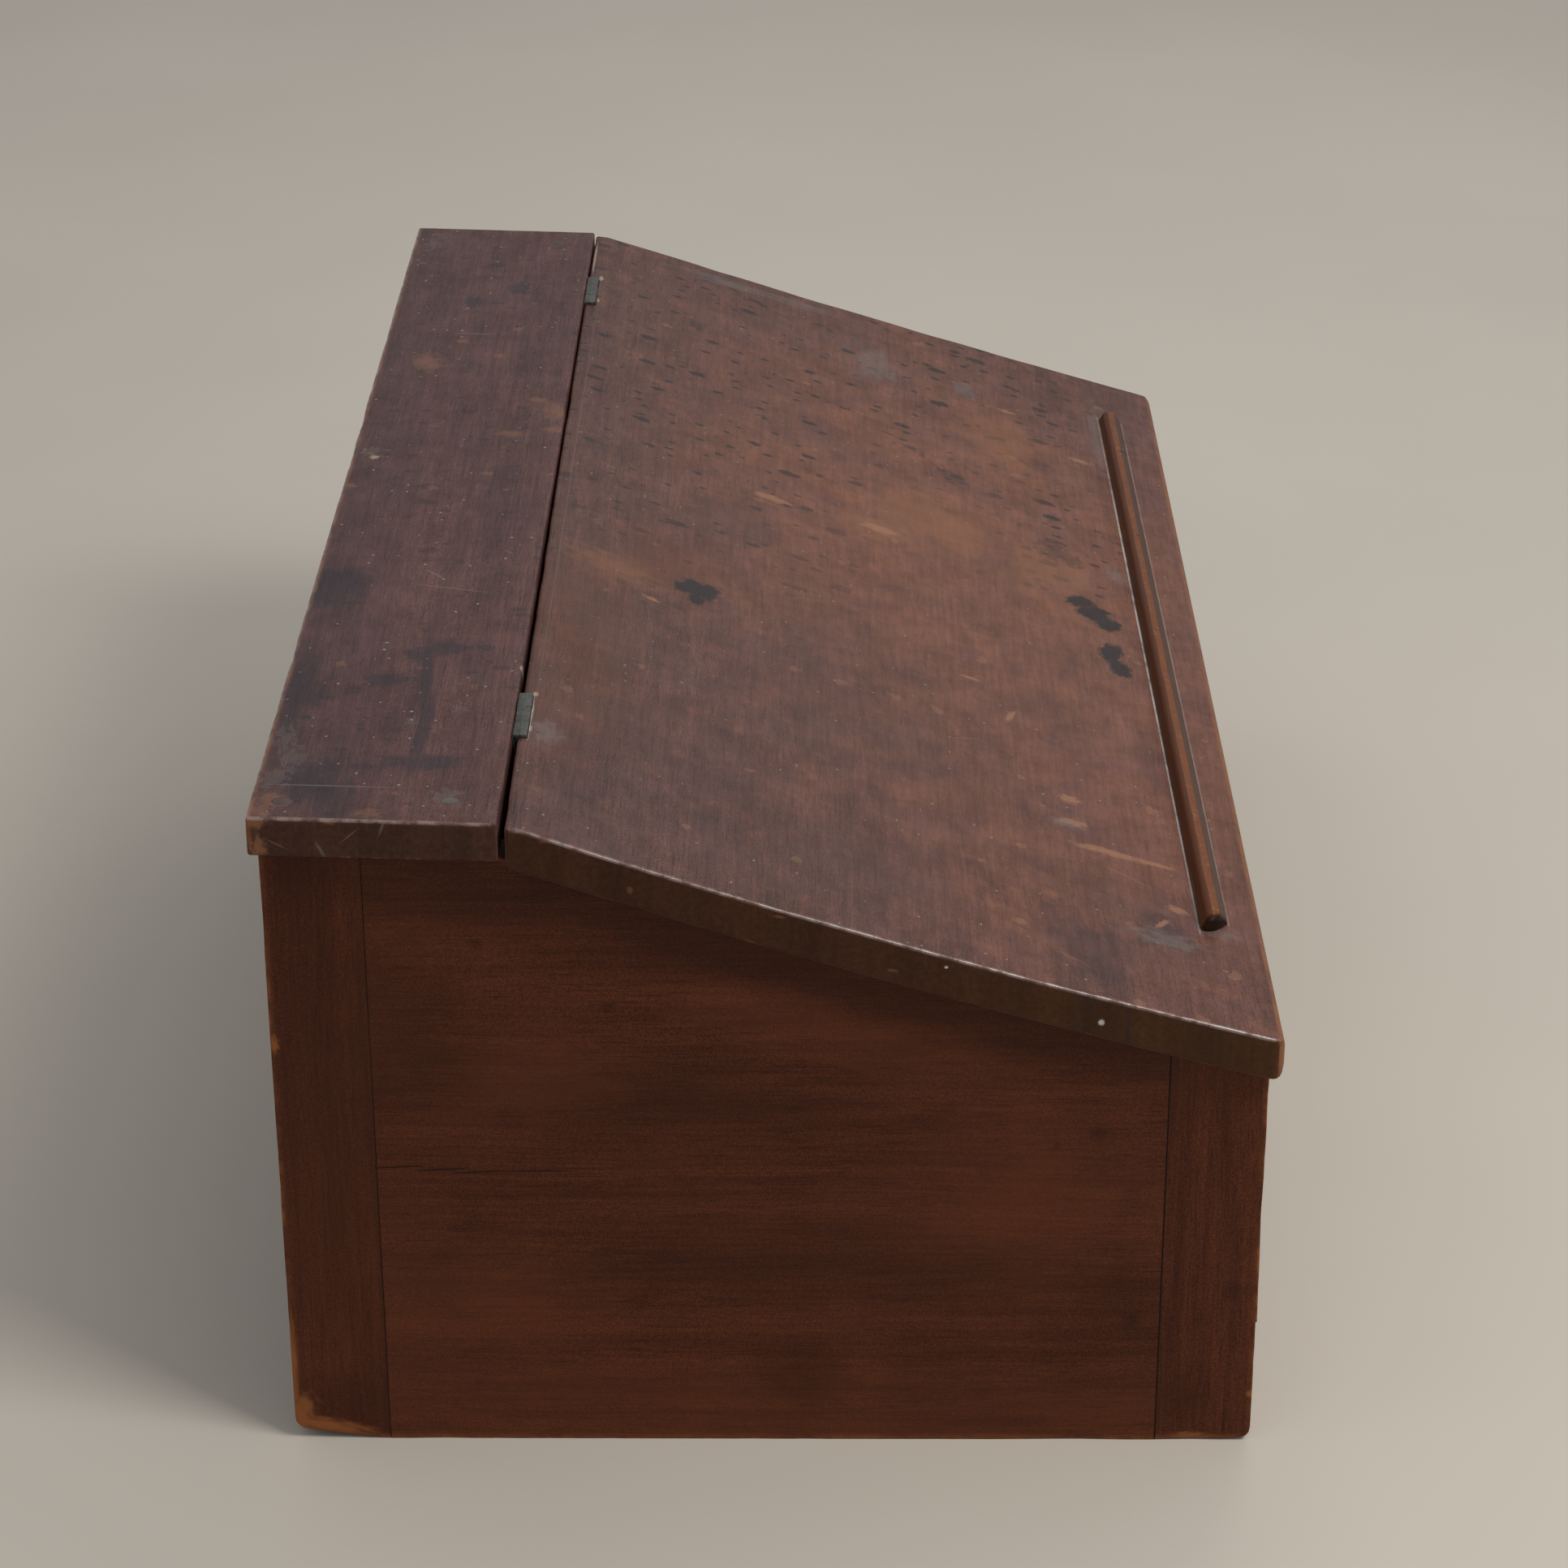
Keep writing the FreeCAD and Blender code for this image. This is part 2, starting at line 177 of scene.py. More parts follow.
# Camera at the photograph's view, which is square
photo_size = 1932
photo_focus = 4964
sensor = 36
sight_reach = 100
camera_place = Vector((-2.5329, -0.0271, 1.3955))
camera_heading = math.radians(-89.423)
camera_tilt = math.radians(64.498)
camera_roll = math.radians(-0.203)
camera_turn = (
    Matrix.Rotation(camera_heading, 4, "Z")
    @ Matrix.Rotation(camera_tilt, 4, "X")
    @ Matrix.Rotation(camera_roll, 4, "Z")
)
camera_data = bpy.data.cameras.new("camera")
camera_data.sensor_width = sensor
camera_data.lens = sensor * photo_focus / photo_size
camera_data.clip_end = sight_reach
camera = placed("camera", camera_data)
camera.matrix_world = Matrix.Translation(camera_place) @ camera_turn
bpy.context.scene.camera = camera


def seen_on(pixel, point, facing):
    """Where the sight line through a pixel of the photograph meets a plane."""
    middle = photo_size / 2
    across = (pixel[0] - middle) / photo_focus
    down = (pixel[1] - middle) / photo_focus
    sight = camera_turn.to_3x3() @ Vector((across, -down, -1))
    reach = (point - camera_place).dot(facing) / sight.dot(facing)
    return camera_place + sight * reach


def on_lid(pixel):
    """A pixel's place on the lid, as a flat place in plan."""
    found = seen_on(pixel, Vector((0, crease_y, crease_z - cup_usual)), off_lid)
    return (found.x, found.y, 0)


def on_top(pixel):
    """A pixel's place on the top board, as a flat place in plan."""
    found = seen_on(pixel, Vector((0, top_high.y, top_high.z)), off_top)
    return (found.x, found.y, 0)


def on_end(pixel, x=-x_case):
    """A pixel's place on the near end of the case, as a flat place in its own elevation."""
    found = seen_on(pixel, Vector((x, 0, 0)), along_desk)
    return (found.y, found.z, 0)


def on_board_end(pixel):
    """A pixel's place on the near end of the lid or the top board."""
    return on_end(pixel, -x_end)


def marks_on(surface, *marks):
    """Marks by their pixel across and down, half sizes in mm and turn in degrees."""
    return [(surface((x, y)), (wide, deep), turn) for x, y, wide, deep, turn in marks]


# Shader helpers, which all work on the tree that was begun last
tree = None


def add(kind, inputs=None, **settings):
    """The outputs of a new shader node; an input is a value or another node's socket."""
    made = tree.nodes.new("ShaderNode" + kind)
    for label, setting in settings.items():
        setattr(made, label, setting)
    for label, given in (inputs or {}).items():
        plug(made.inputs[label], given)
    return made.outputs


def plug(socket, given):
    """Links a socket or sets its value; a colour gets its alpha."""
    if isinstance(given, bpy.types.NodeSocket):
        tree.links.new(given, socket)
    elif socket.type == "RGBA":
        socket.default_value = (*given[:3], 1)
    else:
        socket.default_value = given


def reckon(operation, *values):
    """One step of arithmetic."""
    return add("Math", dict(enumerate(values)), operation=operation)[0]


def times(first, *others):
    """A product."""
    for other in others:
        first = reckon("MULTIPLY", first, other)
    return first


def scaled(value, factor, offset):
    """A value times a factor, plus an offset."""
    return reckon("MULTIPLY_ADD", value, factor, offset)


def mixed(share, first, second):
    """Two colours mixed by a mask."""
    return add("Mix", {0: share, 6: first, 7: second}, data_type="RGBA")[2]


def tinted(colour, tone, amount, *masks):
    """A colour with some of another tone, where all the masks let it show."""
    return mixed(times(*masks, amount), colour, tone)


def shaded(colour, amount):
    """A colour made lighter or darker by a factor."""
    return add("HueSaturation", {"Color": colour, "Value": amount})[0]


def ramped(value, low, high, start=0, stop=1):
    """A smooth ramp from start at low to stop at high."""
    limits = {"Value": value, "From Min": low, "From Max": high, "To Min": start, "To Max": stop}
    return add("MapRange", limits, interpolation_type="SMOOTHSTEP")[0]


def mottle(vector, scale, detail=4, roughness=0.55):
    """Cloudy variation about 0.5."""
    values = {"Vector": vector, "Scale": scale, "Detail": detail, "Roughness": roughness}
    return add("TexNoise", values)["Fac"]


def cloudy(vector, scale, detail, roughness, low, high, start=0, stop=1):
    """Cloudy variation, ramped."""
    return ramped(mottle(vector, scale, detail, roughness), low, high, start, stop)


def stretched(vector, scales):
    """A place scaled by its own amount along each axis."""
    return add("VectorMath", {0: vector, 1: scales}, operation="MULTIPLY")[0]


def parts_of(vector):
    """The three parts of a vector."""
    return add("SeparateXYZ", {"Vector": vector})


def elevation(place):
    """Places seen square from the end of the desk."""
    parts = parts_of(place)
    return add("CombineXYZ", {"X": parts["Y"], "Y": parts["Z"]})[0]


def use(group, inputs):
    """A group placed in a material with its own values."""
    return add("Group", inputs, node_tree=group)


def new_group(name, vectors, numbers, results):
    """An empty shader node group with named sockets."""
    global tree
    tree = bpy.data.node_groups.new(name, "ShaderNodeTree")
    for labels, side, kind in (
        (vectors, "INPUT", "NodeSocketVector"),
        (numbers, "INPUT", "NodeSocketFloat"),
        (results, "OUTPUT", "NodeSocketFloat"),
    ):
        for label in labels:
            tree.interface.new_socket(name=label, in_out=side, socket_type=kind)
    given = tree.nodes.new("NodeGroupInput").outputs
    kept = tree.nodes.new("NodeGroupOutput").inputs
    return tree, given, kept


# Wood figure: broad colour bands, streaks, fibres and open pores, all running along the vector's X
figure_group, given, kept = new_group(
    "wood_figure", ["Vector"], [], ["Broad", "Streak", "Fibre", "Pores"]
)
sway = scaled(mottle(stretched(given["Vector"], (2, 9, 9)), scale=1, detail=2), 0.02, -0.01)
swayed = add("CombineXYZ", {"Y": sway, "Z": sway})[0]
swayed = add("VectorMath", {0: given["Vector"], 1: swayed})[0]
for label, along, across, detail, roughness, low, high in (
    ("Broad", 1.3, 24, 5, 0.6, 0.3, 0.7),
    ("Streak", 4, 85, 4, 0.62, 0.3, 0.7),
    ("Fibre", 11, 420, 3, 0.62, 0.32, 0.68),
    ("Pores", 42, 1300, 1, 0.55, 0.57, 0.70),
):
    drawn_out = stretched(swayed, (along, across, across))
    plug(kept[label], cloudy(drawn_out, 1, detail, roughness, low, high))

# Worn edges: bare spots broken up along an arris, a wider soft rub and a polished line
chip_fade = 0.6 * mm
rub_spread = 2.6
polish_start = 1.0 * mm
polish_stop = 2.8 * mm
polish_roughness = 0.16
worn_edge_group, given, kept = new_group("worn_edge", ["Vector"], ["Reach"], ["Bare", "Rub", "Polish"])
gap = add("Attribute", attribute_name="edge_gap")["Fac"]
patches = mottle(given["Vector"], scale=55, detail=6, roughness=0.68)
bite = times(scaled(patches, 4, -1.9), given["Reach"])
plug(kept["Bare"], ramped(reckon("SUBTRACT", gap, bite), 0, chip_fade, 1, 0))
soft = ramped(gap, 0, times(given["Reach"], rub_spread), 1, 0)
plug(kept["Rub"], times(soft, ramped(patches, 0.3, 0.7)))
sleek = ramped(gap, polish_start, polish_stop, 1, 0)
glints = cloudy(given["Vector"], scale=130, detail=4, roughness=0.6, low=0.36, high=0.6)
glints = scaled(glints, 0.75, 0.25)
plug(kept["Polish"], times(sleek, glints))

# One blot of a given place, turn and size, with a ragged outline; its size is given blot_reach times over
blot_reach = 2.5
blot_rag_scale = 1.5
blot_seed = (53, 71)
blot_group, given, kept = new_group(
    "blot", ["Vector", "Centre", "Turn", "Size", "Seed"], ["Ragged", "Soft"], ["Mask"]
)
blot_place = {
    "Vector": given["Vector"],
    "Location": given["Centre"],
    "Rotation": given["Turn"],
    "Scale": given["Size"],
}
around = add("Mapping", blot_place, vector_type="TEXTURE")[0]
near = add("TexGradient", {"Vector": around}, gradient_type="SPHERICAL")["Fac"]
drift = add("Mapping", {"Vector": around, "Location": given["Seed"]})[0]
rag_values = {"Vector": drift, "Scale": blot_rag_scale * blot_reach, "Detail": 4, "Roughness": 0.6}
rag = reckon("SUBTRACT", add("TexNoise", rag_values, noise_dimensions="2D")["Fac"], 0.5)
away = scaled(rag, given["Ragged"], scaled(near, -blot_reach, blot_reach))
inner = reckon("SUBTRACT", 1, given["Soft"])
outer = reckon("ADD", 1, given["Soft"])
plug(kept["Mask"], ramped(away, inner, outer, 1, 0))

# Scattered drops: round spots of uneven size, thinned out at random
drops_group, given, kept = new_group("drops", ["Vector"], ["Cells", "Share", "Size", "Ragged"], ["Mask"])
cells = add("TexVoronoi", {"Vector": given["Vector"], "Scale": given["Cells"]}, voronoi_dimensions="2D")
chance = add("SeparateColor", {"Color": cells["Color"]})
shown = reckon("LESS_THAN", chance[0], given["Share"])
girth = times(scaled(chance[1], 0.75, 0.25), given["Size"])
fray = mottle(given["Vector"], scale=times(given["Cells"], 6), detail=3)
fray = times(reckon("SUBTRACT", fray, 0.5), given["Ragged"])
away = reckon("ADD", reckon("DIVIDE", cells["Distance"], girth), fray)
plug(kept["Mask"], times(ramped(away, 0.65, 1.1, 1, 0), shown))

# Tones of the woods, all linear
lid_tones = dict(
    deep=(0.073, 0.0325, 0.0275), mid=(0.103, 0.0460, 0.0375), light=(0.143, 0.0610, 0.0460),
    pore=(0.036, 0.0170, 0.0140), end=(0.056, 0.0215, 0.0095), end_dark=(0.041, 0.0155, 0.0068),
    bare=(0.340, 0.1650, 0.0900),
)
top_tones = dict(
    deep=(0.068, 0.0315, 0.0290), mid=(0.104, 0.0455, 0.0400), light=(0.144, 0.0600, 0.0485),
    pore=(0.034, 0.0175, 0.0165), end=(0.062, 0.0265, 0.0165), end_dark=(0.042, 0.0175, 0.0110),
    bare=(0.340, 0.1500, 0.0750),
)
case_tones = dict(
    deep=(0.052, 0.0130, 0.0056), mid=(0.080, 0.0205, 0.0082), light=(0.125, 0.0350, 0.0130),
    pore=(0.030, 0.0085, 0.0042), end=(0.048, 0.0150, 0.0075), end_dark=(0.030, 0.0100, 0.0055),
    bare=(0.300, 0.1050, 0.0320),
)
ledge_tones = dict(
    deep=(0.070, 0.0240, 0.0110), mid=(0.105, 0.0370, 0.0160), light=(0.160, 0.0620, 0.0250),
    pore=(0.034, 0.0130, 0.0070), end=(0.060, 0.0250, 0.0130), end_dark=(0.034, 0.0140, 0.0080),
    bare=(0.360, 0.1600, 0.0720),
)
inner_tones = dict(
    deep=(0.130, 0.0700, 0.0350), mid=(0.200, 0.1150, 0.0600), light=(0.280, 0.1750, 0.1000),
    pore=(0.070, 0.0380, 0.0200), end=(0.140, 0.0780, 0.0400), end_dark=(0.070, 0.0380, 0.0200),
    bare=(0.360, 0.2400, 0.1400),
)

# Tones of marks, wear and metal
ink_tone = (0.020, 0.017, 0.019)
dust_tone = (0.33, 0.29, 0.25)
chip_tone = (0.42, 0.34, 0.24)
# Painted highlight: a pale pink line for the upward arrises at the board ends
painted_highlight_tone = (0.42, 0.32, 0.29)
lid_olive_tone = (0.046, 0.0200, 0.0070)
lid_rubbed_tone = (0.186, 0.074, 0.043)
lid_nose_tone = (0.27, 0.105, 0.036)
wax_tone = (0.50, 0.49, 0.47)
ledge_dust_tone = (0.26, 0.21, 0.185)
scribed_tone = (0.16, 0.11, 0.095)
top_rearward_tone = (0.054, 0.033, 0.035)
top_rear_edge_tone = (0.26, 0.105, 0.040)
case_dot_tone = (0.012, 0.005, 0.004)
case_foot_tone = (0.19, 0.066, 0.022)
case_rub_tone = (0.20, 0.066, 0.021)
seam_tone = (0.008, 0.004, 0.003)
ledge_crown_tone = (0.185, 0.057, 0.017)
ledge_shade_tone = (0.092, 0.0240, 0.0050)
ledge_front_tone = (0.070, 0.040, 0.030)
ledge_end_shade_tone = (0.014, 0.0075, 0.0038)
plug_tone = (0.068, 0.038, 0.034)
plug_dust_tone = (0.13, 0.115, 0.095)
plug_edge_tone = (0.018, 0.012, 0.010)
inner_stain_tone = (0.085, 0.043, 0.022)
hinge_tone = (0.052, 0.053, 0.047)
steel_tone = (0.11, 0.10, 0.095)
iron_lift = 1.9
rust_tone = (0.085, 0.040, 0.020)
bright_iron_tone = (0.20, 0.19, 0.165)
floor_tone = (0.62, 0.565, 0.49)

# Which way the grain runs, as a turn of the wood figure
grain_along_desk = (0, 0, 0)
grain_across_desk = (0, 0, -quarter)
grain_upright = (0, quarter, 0)


# Parts that several finishes share
def start_finish(name, roughness, specular):
    """A material with its shader, the object's own places and the way its surface faces."""
    global tree
    material = bpy.data.materials.new(name)
    material.use_nodes = True
    tree = material.node_tree
    shader = tree.nodes["Principled BSDF"]
    shader.inputs["Specular IOR Level"].default_value = specular
    shader.inputs["Roughness"].default_value = roughness
    source = add("TexCoord")
    return material, shader, source["Object"], source["Normal"]


def close_finish(shader, colour, roughness, relief, strength=0.25, distance=0.35 * mm):
    """Links a finish's colour, roughness and bump to its shader."""
    plug(shader.inputs["Base Color"], colour)
    plug(shader.inputs["Roughness"], roughness)
    bump = add("Bump", {"Height": relief, "Strength": strength, "Distance": distance})
    plug(shader.inputs["Normal"], bump[0])


def planed_wood(place, facing, turn, tones, fibre_share):
    """Colour, relief and end grain of a planed board."""
    grain = add("Mapping", {"Vector": place, "Rotation": turn})[0]
    figure = use(figure_group, {"Vector": grain})
    colour = mixed(figure["Broad"], tones["deep"], tones["mid"])
    colour = tinted(colour, tones["light"], fibre_share, figure["Fibre"])
    colour = shaded(colour, scaled(figure["Streak"], 0.3, 0.85))
    speckle = mottle(place, scale=820, detail=2, roughness=0.7)
    colour = shaded(colour, ramped(speckle, 0.3, 0.7, 0.62, 1.38))
    colour = tinted(colour, tones["pore"], 0.65, figure["Pores"])
    side = add("Mapping", {"Vector": facing, "Rotation": turn}, vector_type="VECTOR")[0]
    end = ramped(reckon("ABSOLUTE", parts_of(side)["X"]), 0.6, 0.9)
    cut_grain = cloudy(place, scale=240, detail=5, roughness=0.75, low=0.3, high=0.7)
    colour = mixed(end, colour, mixed(cut_grain, tones["end_dark"], tones["end"]))
    relief = scaled(figure["Pores"], -1, figure["Fibre"])
    return colour, relief, end


def blots(flat, marks, ragged, soft):
    """One mask for several placed blots: place, half sizes in mm, turn in degrees."""
    mask = None
    for centre, size, turn in marks:
        values = {
            "Vector": flat,
            "Centre": centre,
            "Turn": (0, 0, math.radians(turn)),
            "Size": (size[0] * mm * blot_reach, size[1] * mm * blot_reach, 1),
            "Seed": (blot_seed[0] * centre[0], blot_seed[1] * centre[1], 0),
            "Ragged": ragged,
            "Soft": soft,
        }
        found = use(blot_group, values)["Mask"]
        mask = found if mask is None else reckon("MAXIMUM", mask, found)
    return mask


def marked(colour, flat, layers, keep=None):
    """A colour with layers of marks, each with tone, raggedness, softness and amount; keep masks them."""
    for marks, tone, ragged, soft, amount in layers:
        mask = blots(flat, marks, ragged, soft)
        if keep is not None:
            mask = times(mask, keep)
        colour = tinted(colour, tone, amount, mask)
    return colour


def patched(colour, flat, keep, patches):
    """A colour with cloudy patches: tone, amount, scale, detail, roughness and the range that shows."""
    for tone, amount, *cloud in patches:
        colour = tinted(colour, tone, amount, cloudy(flat, *cloud), keep)
    return colour


def scattered(flat, cells, share, size, ragged, turn=0, scale=(1, 1, 1)):
    """One mask for scattered drops; turned and stretched, they become scratches."""
    if turn or scale != (1, 1, 1):
        values = {"Vector": flat, "Rotation": (0, 0, math.radians(turn)), "Scale": scale}
        flat = add("Mapping", values, vector_type="TEXTURE")[0]
    values = {"Vector": flat, "Cells": cells, "Share": share, "Size": size, "Ragged": ragged}
    return use(drops_group, values)["Mask"]


def scattered_twice(flat, first, second):
    """One mask for two fields of scattered drops."""
    return reckon("MAXIMUM", scattered(flat, *first), scattered(flat, *second))


def aged_face(place, flat, colour):
    """Uneven old polish: cloudy patches, and fine streaks along the desk."""
    patches = mottle(flat, scale=30, detail=8, roughness=0.75)
    colour = shaded(colour, ramped(patches, 0.28, 0.72, 0.76, 1.28))
    fine = mottle(stretched(place, (24, 280, 280)), scale=1, detail=5, roughness=0.7)
    return shaded(colour, ramped(fine, 0.28, 0.72, 0.84, 1.16))


def polished_edges(shader, colour, tones, place, facing, reach, keep):
    """Rubbed and chipped arrises, with a polished coat line that catches the light, painted as a pale
    highlight at the ends; keep masks them.
    """
    worn = use(worn_edge_group, {"Vector": place, "Reach": reach})
    polish = times(keep, ramped(parts_of(facing)["Z"], 0.05, 0.3), worn["Polish"])
    length = reckon("ABSOLUTE", parts_of(place)["X"])
    near_end = ramped(length, x_end - 5 * mm, x_end - 3 * mm)
    colour = tinted(colour, tones["light"], 0.3, keep, worn["Rub"])
    # Painted highlight: the polished line at the ends of the board is painted pale pink
    colour = tinted(colour, painted_highlight_tone, 0.4, polish, near_end)
    colour = tinted(colour, tones["bare"], 0.45, keep, worn["Bare"])
    plug(shader.inputs["Coat Weight"], polish)
    shader.inputs["Coat Roughness"].default_value = polish_roughness
    return colour


def close_face(shader, place, flat, colour, relief, nicks):
    """Uneven sheen, shallow dents and scratches of a handled board."""
    roughness = scaled(mottle(flat, scale=11, detail=5, roughness=0.6), 0.22, 0.33)
    relief = scaled(nicks, -2, relief)
    relief = scaled(mottle(place, scale=60, detail=3), 1.5, relief)
    close_finish(shader, colour, roughness, relief)


# Marks on the lid, by their pixels in the photograph
lid_drop_fields = marks_on(
    on_lid, (850, 470, 340, 135, 0), (1120, 470, 190, 130, 0), (1310, 670, 110, 45, 0)
)
lid_rubbed_area = marks_on(on_lid, (1185, 700, 455, 195, 6))
lid_warm_marks = marks_on(
    on_lid,
    (1083, 648, 20, 26, -5), (757, 698, 18, 28, -10), (1150, 640, 44, 40, 0), (1230, 545, 46, 30, 0),
    (1290, 700, 60, 30, 0),
)
lid_dusk_marks = marks_on(
    on_lid,
    (1030, 860, 100, 75, 0), (830, 955, 60, 50, 0), (1425, 1140, 40, 28, 0), (1060, 1050, 50, 45, 0),
    (905, 640, 40, 24, 10), (1300, 870, 50, 28, 0),
)
lid_red_marks = marks_on(
    on_lid, (705, 780, 110, 34, 0), (690, 875, 60, 30, 0), (820, 690, 50, 26, 0)
)
lid_bruises = marks_on(
    on_lid,
    (1171, 585, 16, 9, 25), (1298, 680, 16, 12, 0), (1322, 694, 10, 8, 0), (860, 402, 10, 7, 0),
    (1347, 1175, 42, 19, 10), (1430, 1150, 20, 14, 0),
)
lid_ink_marks = marks_on(
    on_lid,
    (859, 726, 14, 10, 30), (842, 722, 8, 6, -20), (874, 726, 8, 6, 0), (858, 738, 8, 5, 0),
    (1332, 743, 11, 9, -40), (1348, 758, 13, 12, -35), (1366, 773, 11, 8, -30), (1368, 806, 16, 8, -10),
    (1380, 826, 14, 7, 10),
)
lid_tan_marks = marks_on(
    on_lid,
    (952, 613, 5, 13, -9), (1318, 984, 5, 6, 0), (1365, 1050, 4, 19, -3), (1420, 1066, 2.5, 13, -3),
    (803, 738, 2.5, 5, -25), (1083, 650, 6, 12, -10), (1245, 881, 9, 2, -20), (1195, 833, 2, 6, -5),
    (1322, 1013, 4, 9, 0), (1240, 508, 3, 6, -5), (1330, 570, 4, 9, -5), (1451, 1124, 4, 6, -15),
    (1432, 1140, 7, 2, -30),
)
lid_grey_rubs = marks_on(
    on_lid,
    (1075, 450, 30, 16, 0), (1188, 481, 14, 7, 0), (1312, 1013, 5, 9, 0), (1376, 713, 12, 7, 10),
    (1352, 545, 50, 5, 0), (1497, 1152, 7, 11, 0), (1477, 1120, 26, 3, 0), (672, 905, 12, 8, 0),
    (905, 352, 7, 34, 0), (985, 375, 6, 24, 0), (1440, 1160, 8, 16, 0),
)
lid_chips = marks_on(
    on_lid,
    (660, 858, 3.0, 1.6, 0), (656, 880, 12, 0.6, 0), (653, 900, 4.0, 1.4, 0), (733, 318, 34, 0.8, 0),
    (741, 345, 5.0, 1.6, 0), (737, 372, 4.0, 1.0, 0),
)
lid_end_knocks = marks_on(
    on_board_end,
    (677, 1035, 5.5, 1.4, -10), (776, 1097, 1.6, 2.2, 0), (1205, 1250, 2.5, 1.5, 0),
    (1100, 1196, 3.0, 1.0, 10), (960, 1130, 3.5, 0.8, 10),
)
lid_end_specks = marks_on(on_board_end, (1357, 1260, 1.7, 1.7, 0), (1166, 1192, 1.0, 0.8, 0))
lid_layers = [
    (lid_warm_marks, (0.25, 0.105, 0.05), 2.4, 0.7, 0.5),
    (lid_dusk_marks, (0.050, 0.034, 0.038), 2.4, 0.9, 0.2),
    (lid_red_marks, (0.112, 0.038, 0.018), 2.0, 0.9, 0.4),
    (lid_bruises, ink_tone, 2.6, 0.5, 0.45),
    (lid_ink_marks, ink_tone, 1.4, 0.24, 0.92),
    (lid_tan_marks, lid_tones["bare"], 1.8, 0.4, 0.62),
    (lid_grey_rubs, (0.17, 0.145, 0.135), 3.4, 0.7, 0.42),
    (lid_chips, chip_tone, 1.4, 0.3, 0.7),
]
lid_end_layers = [
    (lid_end_knocks, (0.17, 0.065, 0.028), 1.2, 0.4, 0.6),
    (lid_end_specks, (0.75, 0.72, 0.68), 1.2, 0.4, 0.6),
]
lid_patches = [
    ((0.215, 0.086, 0.042), 0.45, 34, 7, 0.72, 0.52, 0.72),
    ((0.056, 0.031, 0.030), 0.42, 19, 7, 0.7, 0.52, 0.74),
    ((0.125, 0.056, 0.050), 0.45, 13, 6, 0.65, 0.48, 0.66),
]
wax_line = [((0, ledge_rear_y + 0.4 * mm, 0), (900, 0.7), ledge_turn)]
dust_line = [((0, ledge_front_y - 0.6 * mm, 0), (900, 0.55), ledge_turn)]
scribed_line = [((-0.05, lid_high.y - 7.5 * mm, 0), (480, 0.35), 0)]


